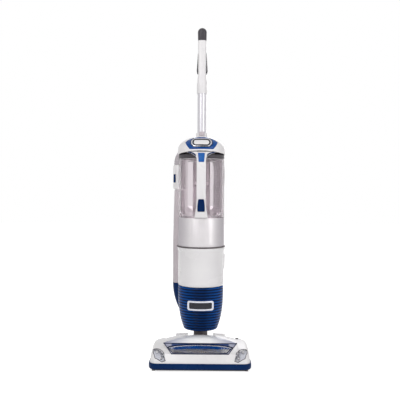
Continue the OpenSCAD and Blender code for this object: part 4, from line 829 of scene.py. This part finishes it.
# %% Screws of the spine
spine_plane = 0.130
spine_half = 0.020
screw = turned("screw", [(4.0, -1.0), (4.0, 0.6), (3.4, 1.3), (2.3, 1.7), (1.7, 1.75), (1.5, 0.5)])
screw_places = [Vector((side * spine_half, spine_plane, z)) for side in (-1, 1) for z in (0.30, 0.44, 0.60)]
screws = copies(screw, "spine_screws", screw_places, (-math.pi / 2, 0, 0))
dress(screws, "steel")
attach(screws, body_of["spine"])
print("screws:", len(screw_places), "with", len(screws.data.polygons), "faces")

# %% Dark ring of the oval badge
wide_outside = (0.0600, 0.0240, 0.0119)
wide_inside = (0.0505, 0.0145, 0.0070)


def on_badge_ring(first, second, facing):
    """The edges of the sunken ring, with a little room on both sides"""
    def inside(spot):
        x, z = spot.x, spot.z - badge_middle
        return spot.y < 0 and in_round_rect(x, z, *wide_outside) and not in_round_rect(x, z, *wide_inside)
    return inside(first) and inside(second)


edge_bead("badge_ring", "badge_plate", on_badge_ring, 0.0012, "charcoal", "enamel")

# %% Painted highlights on the cup's corners
panel_y = -0.024
cup_radius = 0.077
cup_foot, cup_rim = 0.4725, 0.6675


def on_cup_skin(first, second, facing):
    """Both ends lie on the cup's outer skin, away from its two rims"""
    def outside(spot):
        around = math.hypot(spot.x, spot.y - barrel_y)
        return abs(spot.y - panel_y) < 0.0003 or abs(around - cup_radius) < 0.0004
    return all(outside(spot) and cup_foot < spot.z < cup_rim for spot in (first, second))


# Painted highlight: pale, half clear beads on the cup's corners stand for the glints along its moulded edges.
corner = moulded("cup_corner_highlight", paint(240, 237, 240), paint(232, 229, 232), 0.1, 0.2, shine=0.5)
corner.node_tree.nodes["Principled BSDF"].inputs["Alpha"].default_value = 0.6
finishes["cup_corner_highlight"] = corner
edge_bead("cup_corner_glints", "dust_cup", on_cup_skin, 0.0007, "clear", "cup_corner_highlight", crease=18)

# %% [markdown]
# ## The ribbed hose
# The hose is one corrugated tube from the cuff over the back of the cleaner and down to its port. A single
# rib is drawn first: a circle is extruded ring by ring and each ring is scaled to the rib's wave. An array
# lays the ribs end to end, a curve leads them along the route, and a thickness closes the wall. The route's
# points are the same as the solid's.

# %% Route of the hose
hose_route = [Vector(p) / 1000 for p in (
    (-77, 90, 613.3), (-77, 90, 649), (-76, 92, 664), (-69, 103, 682), (-54, 121, 693), (-32, 138, 697),
    (-6, 150, 698), (20, 150, 695), (42, 140, 686), (57, 129, 668), (62, 124, 645), (62, 124, 560),
    (62, 124, 470), (62, 124, 335), (62, 124, 299.3),
)]


def route_points(route, step):
    """Points a step apart on a smooth curve through the route"""
    dense = []
    last = len(route) - 2
    for i in range(last + 1):
        a, b = route[i], route[i + 1]
        ahead = (b - a).normalized()
        leave = ahead if i == 0 else (ahead + (a - route[i - 1]).normalized()).normalized()
        arrive = ahead if i == last else (ahead + (route[i + 2] - b).normalized()).normalized()
        reach = (b - a).length / 3
        count = max(2, math.ceil((b - a).length / step))
        for j in range(count):
            t = j / count
            p, q = a + reach * leave, b - reach * arrive
            dense.append((1 - t) ** 3 * a + 3 * t * (1 - t) ** 2 * p + 3 * t * t * (1 - t) * q + t ** 3 * b)
    return dense + [route[-1]]


points = route_points(hose_route, 0.003)
hose_length = sum((b - a).length for a, b in zip(points, points[1:]))
line = bpy.data.curves.new("hose_line", "CURVE")
line.dimensions = "3D"
line.twist_mode = "MINIMUM"
spline = line.splines.new("POLY")
spline.points.add(len(points) - 1)
for spot, p in zip(spline.points, points):
    spot.co = (*p, 1)
guide = bpy.data.objects.new("hose_guide", line)
bpy.context.scene.collection.objects.link(guide)
print("the hose is", round(hose_length, 3), "m long")

# %% One rib, then the whole row
crest, valley = 0.0179, 0.0160
below_crest = crest - 0.0003
wave = ((0.2, valley), (0.34, below_crest), (0.46, crest), (0.74, crest), (0.86, below_crest), (1, valley))
ribs = round(hose_length / 0.0062)
rib_pitch = hose_length / ribs

deselect()
bpy.ops.mesh.primitive_circle_add(vertices=32, radius=valley, rotation=(0, math.pi / 2, 0))
hose = bpy.context.object
hose.name = "ribbed_hose"
bpy.ops.object.transform_apply(location=True, rotation=True, scale=True)
bpy.ops.object.mode_set(mode="EDIT")
bpy.ops.mesh.select_all(action="SELECT")
at, radius = 0.0, valley
for share, size in wave:
    bpy.ops.mesh.extrude_edges_move()
    bpy.ops.transform.resize(value=(1, size / radius, size / radius))
    bpy.ops.transform.translate(value=((share - at) * rib_pitch, 0, 0))
    at, radius = share, size
bpy.ops.object.mode_set(mode="OBJECT")
row = hose.modifiers.new("row", "ARRAY")
row.count = ribs
row.use_relative_offset = False
row.use_constant_offset = True
row.constant_offset_displace = (rib_pitch, 0, 0)
row.use_merge_vertices = True
row.merge_threshold = 0.0001
bend = hose.modifiers.new("route", "CURVE")
bend.object = guide
wall = hose.modifiers.new("wall", "SOLIDIFY")
wall.thickness = 0.0012
wall.offset = 1
for step in ("row", "route", "wall"):
    bpy.ops.object.modifier_apply(modifier=step)
bpy.data.objects.remove(guide)
bpy.ops.object.mode_set(mode="EDIT")
bpy.ops.mesh.select_all(action="SELECT")
bpy.ops.mesh.normals_make_consistent(inside=False)
bpy.ops.object.mode_set(mode="OBJECT")
bpy.ops.object.shade_smooth_by_angle(angle=math.radians(60))
dress(hose, "hose_plastic")
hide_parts("hose")
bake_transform(hose)
print("hose:", ribs, "ribs,", len(hose.data.polygons), "faces")

# %% [markdown]
# ## Tufts of the brush
# Two rows of nylon tufts wind round the roll in a V, so they sweep towards the middle. One fibre is a thin
# cone, nine of them make a tuft, and the tuft is copied along the two rows, turned a little further each
# time, and joined into one piece.

# %% Brush tufts
low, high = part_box("brushroll")
axle = (low + high) / 2
roll_r = 0.018
tip_r = 0.0254
fibre_l = tip_r - roll_r + 0.0006
fibre_middle = (tip_r + roll_r) / 2 - 0.0002
fibre_turn = 2.4
tufts = 30
reach = 0.0985
row_sweep = math.radians(125)

fibres = []
for i in range(9):
    spot = fibre_turn * i
    out_r = 0.00052 * math.sqrt(i)
    shorter = 0.0002 * (i % 3)
    bpy.ops.mesh.primitive_cone_add(
        vertices=5, radius1=0.00042, radius2=0.0002, depth=fibre_l - shorter,
        location=(out_r * math.cos(spot), out_r * math.sin(spot), fibre_middle - shorter / 2),
        rotation=(0.05 * math.sin(spot), 0.05 * math.cos(spot), 0),
    )
    fibres.append(bpy.context.object)
tuft = join(fibres, "tuft")
rows = []
for row_turn in (0, math.pi):
    for i in range(tufts):
        along = (i - (tufts - 1) / 2) / ((tufts - 1) / 2)
        turn = row_turn + abs(along) * row_sweep
        rows.append(copy_of(tuft, (axle.x + along * reach, axle.y, axle.z), (turn, 0, 0)))
bpy.data.objects.remove(tuft)
brush = join(rows, "brush_tufts")
dress(brush, "bristle")
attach(brush, "brush")
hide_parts("brush_bristles")
print("brush:", 2 * tufts, "tufts,", len(brush.data.polygons), "faces")
